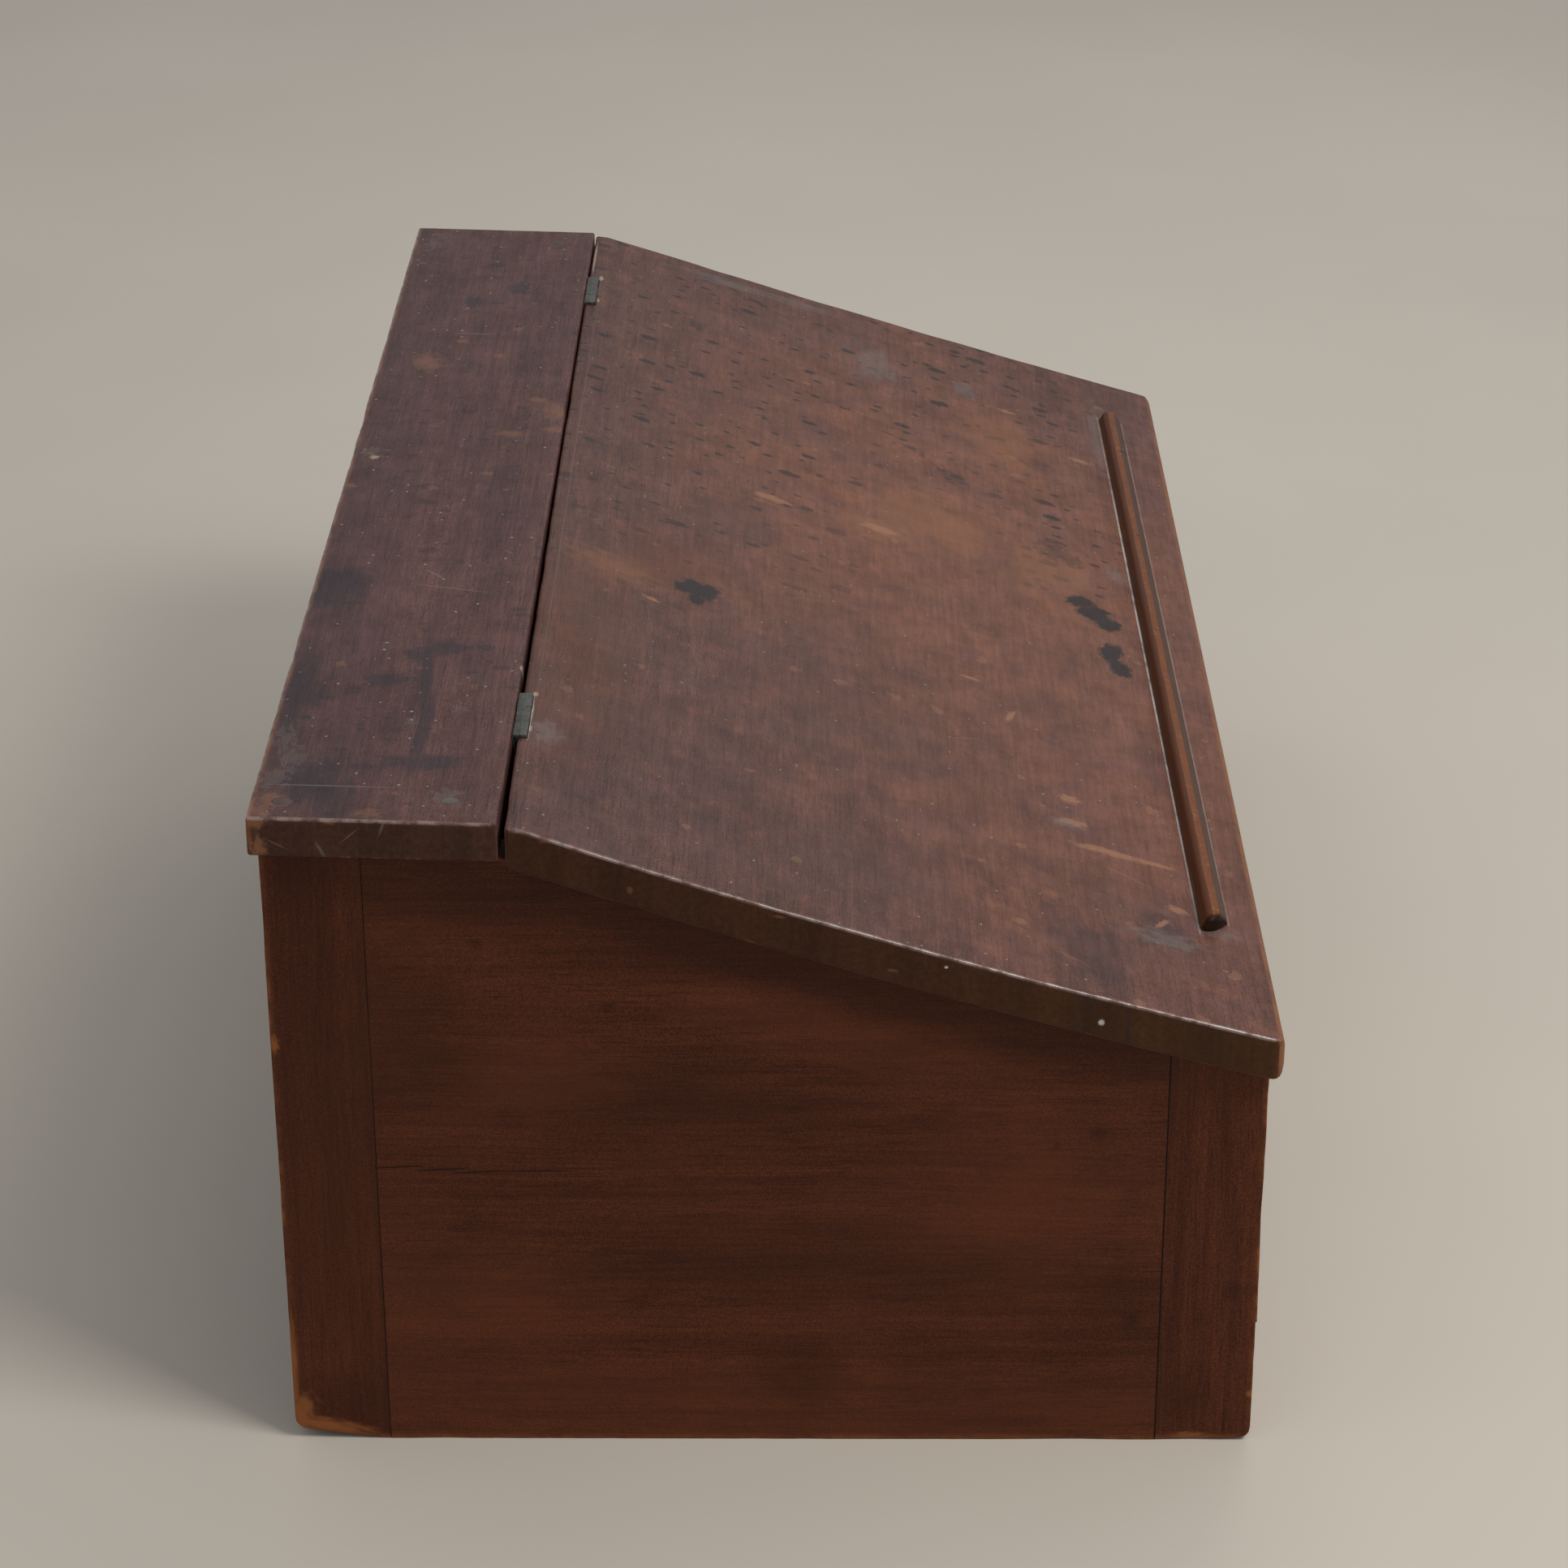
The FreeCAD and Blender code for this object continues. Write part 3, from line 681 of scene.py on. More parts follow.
def lid_finish():
    """The writing lid: rubbed mid brown with ink drops, blots, scuffs and scratches."""
    material, shader, place, facing = start_finish("lid_finish", roughness=0.42, specular=0.11)
    tones = lid_tones
    colour, relief, end = planed_wood(place, facing, grain_along_desk, tones, fibre_share=0.32)
    flat = stretched(place, (1, 1, 0))
    face = reckon("SUBTRACT", 1, end)
    spot = parts_of(place)
    olive = ramped(spot["Y"], 0, front_y, 0, 0.6)
    colour = mixed(times(olive, end), colour, lid_olive_tone)

    # The paler area where papers and sleeves have rubbed, and uneven patches
    rubbed = blots(flat, lid_rubbed_area, ragged=0.9, soft=0.75)
    cloud = scaled(cloudy(flat, scale=10, detail=6, roughness=0.62, low=0.3, high=0.7), 0.6, 0.5)
    colour = tinted(colour, lid_rubbed_tone, 0.9, rubbed, cloud, face)
    colour = patched(colour, flat, face, lid_patches)
    colour = shaded(colour, ramped(spot["Y"], front_y, crease_y, 1.09, 0.945))
    colour = aged_face(place, flat, colour)

    # Ink drops over the far part of the lid
    drop_field = scaled(blots(flat, lid_drop_fields, ragged=1.0, soft=0.5), 0.9, 0.1)
    drops = scattered_twice(
        flat, (40, 0.5, 0.24, 1.6, 0, (1, 1.5, 1)), (73, 0.48, 0.22, 1.5, 0, (1, 1.6, 1))
    )
    colour = tinted(colour, ink_tone, 0.8, drops, times(drop_field, face))

    # Pale scuffs, specks and fine scratches
    scuffs = scattered(flat, cells=30, share=0.12, size=0.16, ragged=3.4)
    colour = mixed(times(scuffs, 0.3, face), colour, tones["bare"])
    specks = scattered(flat, cells=85, share=0.16, size=0.08, ragged=0.6)
    colour = tinted(colour, dust_tone, 0.65, specks)
    nicks = scattered_twice(
        flat, (22, 0.12, 0.045, 0.3, 62, (9, 1, 1)), (26, 0.12, 0.035, 0.3, 118, (12, 1, 1))
    )
    colour = tinted(colour, tones["bare"], 0.16, nicks)
    colour = marked(colour, flat, lid_layers)

    # Wax left along the ledge, dust along its front foot, and a scribed line by the hinge edge
    ledge_run = times(
        ramped(spot["X"], ledge_low.x - 6 * mm, ledge_low.x - 2 * mm),
        ramped(spot["X"], ledge_high.x, ledge_high.x + 4 * mm, 1, 0),
    )
    wax = times(
        blots(flat, wax_line, ragged=0.3, soft=0.4),
        cloudy(flat, scale=30, detail=5, roughness=0.7, low=0.3, high=0.58, start=0.25, stop=1),
        ramped(spot["X"], ledge_low.x, -0.2, 0.4, 0.9),
        ramped(spot["X"], 0.15, 0.42, 1, 0.3),
        ledge_run,
    )
    colour = mixed(wax, colour, wax_tone)
    dust = times(
        blots(flat, dust_line, ragged=0.4, soft=0.4),
        ledge_run,
        ramped(spot["X"], ledge_low.x + 12 * mm, ledge_low.x + 20 * mm),
        cloudy(flat, scale=50, detail=5, roughness=0.7, low=0.3, high=0.6, start=0.25, stop=0.7),
    )
    colour = mixed(dust, colour, ledge_dust_tone)
    colour = tinted(colour, scribed_tone, 0.45, blots(flat, scribed_line, ragged=0.4, soft=0.4), face)

    # Knocks on the ends, and the rounded front edge rubbed to a warm orange brown
    colour = marked(colour, elevation(place), lid_end_layers, end)
    nose = ramped(parts_of(facing)["Y"], -0.4, -0.65)
    patches = mottle(place, scale=40, detail=6, roughness=0.68)
    colour = tinted(colour, lid_nose_tone, 0.75, nose, ramped(patches, 0.3, 0.65, 0.25, 1))
    keep = ramped(spot["Y"], lid_high.y - 4 * mm, lid_high.y - 2 * mm, 1, 0)
    colour = polished_edges(shader, colour, tones, place, facing, reach=1.3 * mm, keep=keep)
    close_face(shader, place, flat, colour, relief, nicks)
    return material


# Marks on the top board, by their pixels in the photograph
top_stains = marks_on(
    on_top,
    (410, 724, 30, 22, 0), (524, 845, 62, 4.6, 4), (519, 905, 50, 4.6, -2), (552, 798, 12, 13, 20),
    (520, 806, 10, 10, 0), (518, 938, 10, 22, 0), (474, 837, 9, 12, 0), (384, 858, 14, 9, 0),
    (640, 355, 14, 10, 0), (583, 372, 12, 6, 0), (390, 965, 34, 18, 0), (360, 850, 50, 12, 0),
)
top_grey_rubs = marks_on(
    on_top,
    (352, 908, 16, 5, 10), (362, 934, 12, 6, 0), (459, 557, 9, 6, 0), (567, 873, 5, 4, 0),
    (508, 888, 5, 3, 0), (535, 301, 10, 5, 0), (551, 981, 9, 7, 0), (338, 958, 10, 8, 0),
)
top_tan_marks = marks_on(
    on_top,
    (526, 447, 16, 10, 0), (664, 493, 4, 8, -30), (685, 506, 14, 8, 0), (629, 534, 5, 9, 0),
    (682, 529, 5, 7, 0), (332, 985, 9, 7, 0), (318, 998, 7, 6, 0), (455, 1002, 5, 8, 0),
)
top_scratches = marks_on(
    on_top,
    (408, 968, 0.6, 34, 0), (585, 411, 0.8, 14, 0), (560, 725, 0.5, 26, -12), (352, 745, 0.5, 10, 30),
)
top_chips = marks_on(
    on_top,
    (645, 822, 3.5, 2.0, 0), (638, 880, 12, 0.9, 0), (633, 912, 3.5, 1.2, 0), (727, 345, 6, 1.0, 0),
    (461, 563, 3.0, 3.0, 0),
)
top_end_knocks = marks_on(
    on_board_end,
    (312, 1012, 7, 3.5, 0), (345, 1008, 5, 1.4, 0), (406, 1013, 3.5, 1.2, 0), (463, 1007, 4, 2, 0),
    (318, 1045, 4, 6, 0),
)
top_end_scrapes = marks_on(
    on_board_end,
    (470, 1020, 0.8, 5, 20), (395, 1048, 1, 5, -25), (340, 1040, 6, 0.4, 30), (430, 1030, 6, 0.4, -40),
)
top_layers = [
    (top_stains, (0.022, 0.018, 0.026), 2.2, 0.5, 0.62),
    (top_grey_rubs, (0.17, 0.15, 0.125), 5.0, 0.4, 0.24),
    (top_tan_marks, top_tones["bare"], 2.2, 0.6, 0.28),
    (top_scratches, dust_tone, 0.9, 0.5, 0.3),
]
top_end_layers = [
    (top_end_knocks, top_tones["bare"], 2.0, 0.5, 0.45),
    (top_end_scrapes, dust_tone, 1.6, 0.5, 0.2),
]
top_chip_layers = [(top_chips, chip_tone, 1.6, 0.3, 0.65)]
top_patches = [
    ((0.165, 0.066, 0.042), 0.25, 24, 7, 0.72, 0.5, 0.72),
    ((0.036, 0.025, 0.030), 0.25, 15, 7, 0.7, 0.52, 0.74),
]


def top_finish():
    """The top board: darker and more handled, with ink and grey rubs."""
    material, shader, place, facing = start_finish("top_finish", roughness=0.42, specular=0.12)
    tones = top_tones
    colour, relief, end = planed_wood(place, facing, grain_along_desk, tones, fibre_share=0.32)
    flat = stretched(place, (1, 1, 0))
    face = reckon("SUBTRACT", 1, end)
    spot = parts_of(place)
    colour = patched(colour, flat, face, top_patches)
    rearward = ramped(spot["Y"], top_low.y + 30 * mm, top_high.y, 0, 0.4)
    colour = mixed(times(rearward, face), colour, top_rearward_tone)
    colour = aged_face(place, flat, colour)

    # Ink drops, specks, scuffs and fine scratches, then the placed marks
    drops = scattered_twice(
        flat, (34, 0.3, 0.2, 1.8, 0, (1, 1.6, 1)), (70, 0.3, 0.2, 1.6, 0, (1, 1.6, 1))
    )
    colour = tinted(colour, ink_tone, 0.45, drops, face)
    colour = tinted(colour, dust_tone, 0.8, scattered(flat, cells=80, share=0.22, size=0.09, ragged=0.6))
    scuffs = scattered(flat, cells=34, share=0.12, size=0.16, ragged=3.2)
    colour = mixed(times(scuffs, 0.25, face), colour, tones["bare"])
    nicks = scattered_twice(
        flat, (22, 0.14, 0.045, 0.3, 80, (12, 1, 1)), (24, 0.14, 0.035, 0.3, 40, (9, 1, 1))
    )
    colour = tinted(colour, dust_tone, 0.2, nicks)
    colour = marked(colour, flat, top_layers)
    colour = marked(colour, elevation(place), top_end_layers, end)

    # The rear edge coloured orange brown, chips, and polished arrises with a painted highlight at the
    # ends
    rear = ramped(spot["Y"], top_high.y - 4.5 * mm, top_high.y - 1.5 * mm)
    patches = cloudy(place, scale=40, detail=6, roughness=0.68, low=0.3, high=0.65)
    colour = tinted(colour, top_rear_edge_tone, 0.7, rear, patches)
    colour = marked(colour, flat, top_chip_layers)
    keep = ramped(spot["Y"], top_low.y + 2 * mm, top_low.y + 4 * mm)
    colour = polished_edges(shader, colour, tones, place, facing, reach=1.8 * mm, keep=keep)
    close_face(shader, place, flat, colour, relief, nicks)
    return material


# Marks on the case, by their pixels in the photograph or by their place from a corner
glow_look = (case_tones["light"], 1.8, 0.9, 0.42)
shade_look = (case_tones["pore"], 1.8, 0.9, 0.45)
spot_look = ((0.014, 0.006, 0.004), 1.4, 0.9, 0.42)
crack_look = ((0.006, 0.003, 0.002), 0.7, 0.3, 0.8)
rub_look = (case_tones["bare"], 1.8, 0.75, 0.8)
panel_glow = marks_on(
    on_end,
    (780, 1715, 180, 17, 0), (1300, 1730, 70, 10, 0), (1010, 1265, 66, 17, 14), (660, 1330, 50, 22, 0),
    (1250, 1480, 70, 40, 0), (620, 1600, 50, 30, 0), (1000, 1760, 200, 16, 0),
)
# Painted shadow of the lid along the top of the end panel, with darker patches of the wood lower down
panel_shade = marks_on(
    on_end,
    (1000, 1203, 260, 13, 17.4), (500, 1255, 32, 50, 0), (985, 1690, 24, 20, 0), (850, 1360, 90, 20, 0),
    (620, 1110, 120, 18, 0), (1000, 1560, 120, 22, 0),
)
panel_spots = marks_on(
    on_end,
    (586, 1164, 3.4, 2.8, 0), (749, 1240, 3.4, 3.4, 0), (1352, 1397, 4.6, 4.6, 0),
    (1393, 1627, 4.6, 4.6, 0),
)
panel_cracks = marks_on(
    on_end,
    (490, 1438, 16, 0.5, -3), (545, 1441, 14, 0.6, -3), (590, 1444, 14, 0.5, -3), (660, 1443, 22, 0.4, 0),
)
stile_shade = marks_on(
    on_end, (385, 1330, 46, 150, 0), (400, 1740, 50, 30, 0), (1455, 1720, 14, 16, 0)
)
stile_spots = marks_on(on_end, (1520, 1590, 6.0, 5.4, 0))
stile_rubs = [
    ((case_rear_y - 4 * mm, 16 * mm, 0), (8, 13), 0),
    ((case_rear_y - 20 * mm, 9 * mm, 0), (22, 4.5), 10),
    ((case_rear_y - 1 * mm, 48 * mm, 0), (2.4, 30), 0),
    ((case_front_y + 1 * mm, 33 * mm, 0), (2.2, 2.0), 0),
    ((case_front_y + 36 * mm, 3 * mm, 0), (9, 2.5), 0),
    ((case_rear_y - 2 * mm, 270 * mm, 0), (2.2, 5), 0),
]
panel_layers = [
    (panel_glow, *glow_look),
    (panel_shade, *shade_look),
    (panel_spots, *spot_look),
    (panel_cracks, *crack_look),
]
stile_layers = [(stile_shade, *shade_look), (stile_spots, *spot_look), (stile_rubs, *rub_look)]


def case_finish(name, turn, layers):
    """The case: very dark red brown, rubbed orange along its edges, dark in its joints."""
    material, shader, place, facing = start_finish(name, roughness=0.5, specular=0.14)
    tones = case_tones
    colour, relief = planed_wood(place, facing, turn, tones, fibre_share=0.35)[:2]
    glow = cloudy(place, scale=6, detail=5, roughness=0.6, low=0.35, high=0.7)
    colour = tinted(colour, tones["light"], 0.25, glow)
    dusk = cloudy(place, scale=9, detail=5, roughness=0.65, low=0.5, high=0.75)
    colour = tinted(colour, tones["pore"], 0.4, dusk)
    spot = parts_of(place)
    flat = elevation(place)
    dots = scattered(flat, cells=12, share=0.12, size=0.05, ragged=1.2)
    colour = tinted(colour, case_dot_tone, 0.35, dots)
    nicks = scattered(flat, cells=14, share=0.08, size=0.035, ragged=0.3, turn=25, scale=(10, 1, 1))
    colour = tinted(colour, tones["bare"], 0.12, nicks)
    sideways = ramped(reckon("ABSOLUTE", parts_of(facing)["X"]), 0.1, 0.6, 0.15, 1)
    # The end panel's layers include painted shadow under the lid
    colour = marked(colour, flat, layers, sideways)
    foot = ramped(spot["Z"], 1 * mm, 6 * mm, 1, 0)
    foot_patches = cloudy(place, scale=30, detail=5, roughness=0.7, low=0.35, high=0.65)
    colour = tinted(colour, case_foot_tone, 0.6, sideways, foot, foot_patches)
    worn = use(worn_edge_group, {"Vector": place, "Reach": 1.8 * mm})
    colour = tinted(colour, case_rub_tone, 0.8, worn["Rub"])
    colour = tinted(colour, tones["bare"], 0.4, worn["Bare"])
    seam = add("Attribute", attribute_name="joint_gap")["Fac"]
    seam = times(ramped(seam, 0.2 * mm, 0.8 * mm, 1, 0), ramped(spot["Y"], -0.05, 0.05, 0.75, 0.4))
    colour = mixed(seam, colour, seam_tone)
    roughness = scaled(mottle(place, scale=9, detail=5, roughness=0.6), 0.2, 0.4)
    relief = scaled(mottle(place, scale=40, detail=3), 1.5, relief)
    close_finish(shader, colour, roughness, relief)
    return material


def ledge_finish():
    """The pencil ledge: dark on its sides, with painted shade on its rear face and its ends, handled to a
    lighter orange brown along its ridge.
    """
    material, shader, place, facing = start_finish("ledge_finish", roughness=0.45, specular=0.1)
    tones = ledge_tones
    colour, relief = planed_wood(place, facing, grain_along_desk, tones, fibre_share=0.4)[:2]
    turned = parts_of(facing)
    across = turned["Y"]
    patches = mottle(place, scale=48, detail=6, roughness=0.7)
    crown = times(ramped(across, 0.02, -0.12), ramped(across, -0.52, -0.36))
    handled = times(crown, ramped(patches, 0.25, 0.6, 0.5, 1))
    colour = tinted(colour, ledge_crown_tone, 0.85, handled)
    rubs = cloudy(place, scale=260, detail=5, roughness=0.7, low=0.52, high=0.66)
    colour = tinted(colour, tones["bare"], 0.4, rubs, handled)
    colour = tinted(colour, ledge_shade_tone, 0.85, ramped(across, -0.06, 0.1))
    colour = tinted(colour, ledge_front_tone, 0.75, ramped(across, -0.42, -0.56))
    # Painted shade: the ledge's ends darkened nearly to black
    end_shade_mask = ramped(reckon("ABSOLUTE", turned["X"]), 0.2, 0.55)
    colour = tinted(colour, ledge_end_shade_tone, 0.9, end_shade_mask)
    close_finish(shader, colour, scaled(patches, 0.2, 0.34), relief)
    return material


def plug_finish():
    """Screw plugs of a greyer wood, rubbed pale and dusty."""
    material, shader, place, facing = start_finish("plug_finish", roughness=0.6, specular=0.3)
    colour, relief = planed_wood(place, facing, grain_across_desk, inner_tones, fibre_share=0.45)[:2]
    colour = mixed(0.85, colour, plug_tone)
    flat = stretched(place, (1, 1, 0))
    dusty = marks_on(on_top, (551, 981, 9, 7, 0))
    colour = marked(colour, flat, [(dusty, plug_dust_tone, 1.0, 0.4, 0.8)])
    worn = use(worn_edge_group, {"Vector": place, "Reach": 0.6 * mm})
    colour = tinted(colour, plug_edge_tone, 0.3, worn["Bare"])
    close_finish(shader, colour, scaled(mottle(place, scale=80), 0.2, 0.45), relief)
    return material


def inner_finish(name, turn):
    """Bare wood inside the case: dry, browned, dusty and spotted with ink."""
    material, shader, place, facing = start_finish(name, roughness=0.65, specular=0.25)
    colour, relief = planed_wood(place, facing, turn, inner_tones, fibre_share=0.5)[:2]
    stain = cloudy(place, scale=6, detail=5, roughness=0.65, low=0.42, high=0.7)
    colour = tinted(colour, inner_stain_tone, 0.55, stain)
    dust = cloudy(place, scale=24, detail=5, roughness=0.7, low=0.5, high=0.75)
    colour = tinted(colour, dust_tone, 0.3, dust)
    drops = scattered(stretched(place, (1, 1, 0)), cells=14, share=0.16, size=0.14, ragged=1.6)
    upward = ramped(reckon("ABSOLUTE", parts_of(facing)["Z"]), 0.7, 0.9)
    colour = tinted(colour, ink_tone, 0.7, drops, upward)
    roughness = scaled(mottle(place, scale=14), 0.2, 0.55)
    close_finish(shader, colour, roughness, relief, strength=0.35, distance=0.4 * mm)
    return material


def iron_finish(name, base, rust_share):
    """Old iron: dark, rubbed bright in patches, with brown rust in its pits."""
    material, shader, place = start_finish(name, roughness=0.5, specular=0.4)[:3]
    cloud = mottle(place, scale=160, detail=5, roughness=0.65)
    lifted = [iron_lift * part for part in base]
    colour = mixed(ramped(cloud, 0.35, 0.65), base, lifted)
    rust = cloudy(place, scale=420, detail=5, roughness=0.7, low=0.5, high=0.68)
    colour = tinted(colour, rust_tone, rust_share, rust)
    bright = cloudy(place, scale=260, detail=4, roughness=0.6, low=0.56, high=0.72)
    colour = tinted(colour, bright_iron_tone, 0.45, bright)
    plug(shader.inputs["Metallic"], scaled(rust, -0.5, 0.7))
    pits = mottle(place, scale=700, detail=4, roughness=0.7)
    close_finish(shader, colour, scaled(cloud, 0.3, 0.34), pits, strength=0.3, distance=0.2 * mm)
    return material


lid_wood = lid_finish()
top_wood = top_finish()
panel_wood = case_finish("panel_finish", grain_across_desk, panel_layers)
stile_wood = case_finish("stile_finish", grain_upright, stile_layers)
board_wood = case_finish("board_finish", grain_along_desk, [])
ledge_wood = ledge_finish()
plug_wood = plug_finish()
inner_along = inner_finish("inner_along_finish", grain_along_desk)
inner_across = inner_finish("inner_across_finish", grain_across_desk)
inner_upright = inner_finish("inner_upright_finish", grain_upright)
hinge_iron = iron_finish("hinge_iron", hinge_tone, rust_share=0.2)
fastener_steel = iron_finish("fastener_steel", steel_tone, rust_share=0.5)

# Board making: how finely a board is cut, how far it is worn and what counts as sharp
arris_steps = (1.2 * mm, 2.6 * mm, 4.5 * mm, 7.5 * mm, 12 * mm)
widest_step = 0.4
cut_weld = 0.02 * mm
arris_segments = 3
small_segments = 2
round_weld = 0.005 * mm
smooth_angle = math.radians(40)
sharp_angle = math.radians(28)
joint_reach = 1 * mm
bare_facing = 0.9
wave_pitch = 11
knock_pitch = 26
knock_shift = Vector((3, 7, 1))
knock_floor = 0.1
nick_pitch = 95
nick_floor = 0.25
nick_share = 0.8
wear_start = 0.5 * mm
wear_stop = 6 * mm


def prism(outline, x_range):
    """A sharp board of one outline in the plane of the ends, running along the desk."""
    shape = bmesh.new()
    end = shape.faces.new([shape.verts.new((x_range[0], y, z)) for y, z in outline])
    grown = bmesh.ops.extrude_face_region(shape, geom=[end])["geom"]
    moved = [item for item in grown if isinstance(item, bmesh.types.BMVert)]
    bmesh.ops.translate(shape, vec=along_desk * (x_range[1] - x_range[0]), verts=moved)
    bmesh.ops.recalc_face_normals(shape, faces=shape.faces[:])
    return shape


def block(low, high):
    """A sharp block between two corners."""
    shape = bmesh.new()
    bmesh.ops.create_cube(shape, size=1)
    bmesh.ops.scale(shape, vec=high - low, verts=shape.verts)
    bmesh.ops.translate(shape, vec=(low + high) / 2, verts=shape.verts)
    return shape


def rod(radius, length, segments):
    """A round rod that stands upright."""
    shape = bmesh.new()
    bmesh.ops.create_cone(
        shape, cap_ends=True, segments=segments, radius1=radius, radius2=radius, depth=length
    )
    return shape


def mesh_of(shape, name):
    """A mesh that takes over a shape."""
    mesh = bpy.data.meshes.new(name)
    shape.to_mesh(mesh)
    shape.free()
    return mesh


def gathered(shapes):
    """Several shapes in one."""
    whole = bmesh.new()
    for shape in shapes:
        mesh = mesh_of(shape, "part")
        whole.from_mesh(mesh)
        bpy.data.meshes.remove(mesh)
    return whole


def rounded(shape, edges, offset, segments):
    """Rounds some edges of a board."""
    bmesh.ops.bevel(
        shape,
        geom=edges,
        offset=offset,
        offset_type="OFFSET",
        segments=segments,
        profile=0.5,
        affect="EDGES",
        material=-1,
        clamp_overlap=True,
    )
    bmesh.ops.remove_doubles(shape, verts=shape.verts, dist=round_weld)


def sharp_edges(shape):
    """The edges of a board that still turn sharply."""
    return [edge for edge in shape.edges if edge.calc_face_angle(0) > sharp_angle]


def ends_of(edges):
    """The two end points of each edge."""
    return [(np.array(edge.verts[0].co), np.array(edge.verts[1].co)) for edge in edges]


def everything(shape):
    """All corners, edges and faces of a shape."""
    return shape.verts[:] + shape.edges[:] + shape.faces[:]


def scored(shape, direction, spacing):
    """Cuts a board across one direction, closely by its two ends and evenly between."""
    reach = [vert.co.dot(direction) for vert in shape.verts]
    low = min(reach)
    high = max(reach)
    steps = [step for step in arris_steps if step < widest_step * (high - low)]
    places = [low + step for step in steps] + [high - step for step in steps]
    start = low + steps[-1]
    run = high - steps[-1] - start
    count = int(run / spacing)
    places += [start + run * (index + 1) / (count + 1) for index in range(count)]
    for place in places:
        bmesh.ops.bisect_plane(
            shape, geom=everything(shape), dist=cut_weld, plane_co=direction * place, plane_no=direction
        )


def gaps_to(shape, lines):
    """Each vertex's distance to the nearest of some lines."""
    points = np.array([vert.co[:] for vert in shape.verts])
    gaps = np.full(len(points), 1.0)
    for start, stop in lines:
        run = stop - start
        share = np.clip((points - start) @ run / (run @ run), 0, 1)
        gaps = np.minimum(gaps, np.linalg.norm(points - start - share[:, None] * run, axis=1))
    return gaps


def weathered(shape, gaps, waves, knocks):
    """Sinks a board's surface a little: broad waves of the plane, and knocks along its arrises."""
    shape.normal_update()
    shifts = []
    for vert, gap in zip(shape.verts, gaps):
        wave = 0.5 + 0.5 * noise.noise(vert.co * wave_pitch)
        knock = max(noise.noise(vert.co * knock_pitch + knock_shift) - knock_floor, 0)
        knock += nick_share * max(noise.noise(vert.co * nick_pitch) - nick_floor, 0)
        near = 1 - eased(gap, wear_start, wear_stop)
        shifts.append(-vert.normal * (waves * wave + knocks * knock * near))
    for vert, shift in zip(shape.verts, shifts):
        vert.co += shift


def made_piece(name, shape, body, finishes, nodes, marks=None, bare_side=None):
    """Turns a board into a piece that rides on its body and stands for its CAD nodes."""
    shape.normal_update()
    if bare_side is not None:
        for face in shape.faces:
            face.material_index = int(face.normal.dot(bare_side) > bare_facing)
    mesh = mesh_of(shape, name)
    for label, values in (marks or {}).items():
        mesh.attributes.new(label, "FLOAT", "POINT").data.foreach_set("value", values)
    for finish in finishes:
        mesh.materials.append(finish)
    mesh.shade_smooth()
    mesh.set_sharp_from_angle(angle=smooth_angle)
    piece = placed(name, mesh)
    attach(piece, body)
    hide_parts(*nodes)
    return piece


def cut_away(piece, cutter):
    """Cuts a shape out of a piece."""
    mesh = mesh_of(cutter, "cutter")
    tool = placed("cutter", mesh)
    step = piece.modifiers.new("cut", "BOOLEAN")
    step.operation = "DIFFERENCE"
    step.solver = "EXACT"
    step.object = tool
    found = piece.evaluated_get(bpy.context.evaluated_depsgraph_get())
    cut = bpy.data.meshes.new_from_object(found)
    piece.modifiers.clear()
    old = piece.data
    piece.data = cut
    bpy.data.meshes.remove(old)
    cut.name = piece.name
    bpy.data.objects.remove(tool)
    bpy.data.meshes.remove(mesh)
    cut.set_sharp_from_angle(angle=smooth_angle)


def board(
    name,
    shape,
    net,
    finishes,
    body="case",
    ease=1.2 * mm,
    waves=0.2 * mm,
    knocks=0.9 * mm,
    joints_y=(),
    bend=None,
    bare_side=None,
):
    """A worn board: rounded arrises except at its joints, a fine net of cuts, wear, then any bend."""
    joints = []
    arrises = []
    for edge in sharp_edges(shape):
        middle_y = (edge.verts[0].co.y + edge.verts[1].co.y) / 2
        is_joint = any(abs(middle_y - joint_y) < joint_reach for joint_y in joints_y)
        (joints if is_joint else arrises).append(edge)
    arris_lines = ends_of(arrises)
    joint_lines = ends_of(joints)
    rounded(shape, arrises, ease, arris_segments)
    for direction, spacing in net:
        scored(shape, direction, spacing)
    gaps = gaps_to(shape, arris_lines)
    marks = {"edge_gap": gaps, "joint_gap": gaps_to(shape, joint_lines)}
    weathered(shape, gaps, waves, knocks)
    if bend:
        for vert in shape.verts:
            bend(vert)
    return made_piece(name + "_worn", shape, body, finishes, [name], marks, bare_side)


# Ends of the case, bent to the cupped lid and worn at their feet
seat_bend_start = 70 * mm
seat_bend_stop = 4 * mm
foot_round = 8 * mm
rear_foot_rise = 7.5 * mm
front_foot_rise = 1.5 * mm
foot_reach = 62 * mm
foot_fade = 60 * mm
foot_curve = 1.4
panel_joint_gap = 0.1 * mm


def follow_seat(vert):
    """Bends the top of the case to the cupped lid."""
    rim = seat(vert.co.y)
    share = eased(vert.co.z, rim - seat_bend_start, rim - seat_bend_stop)
    vert.co.z += lid_warp(vert.co.x, vert.co.y) * share


def wear_foot(vert, corner_y, rise):
    """Rounds and lifts a low outer corner, where the desk has been dragged."""
    follow_seat(vert)
    place = vert.co
    inward = math.copysign(1, -corner_y)
    far = (place.y - corner_y) * inward
    reach = Vector((foot_round - far, foot_round - place.z))
    if min(reach) > 0 and reach.length > foot_round:
        reach *= foot_round / reach.length
        place.y = corner_y + inward * (foot_round - reach.x)
        place.z = foot_round - reach.y
    near = clamped(1 - far / foot_reach)
    place.z += rise * near ** foot_curve * (1 - eased(place.z, 0, foot_fade))


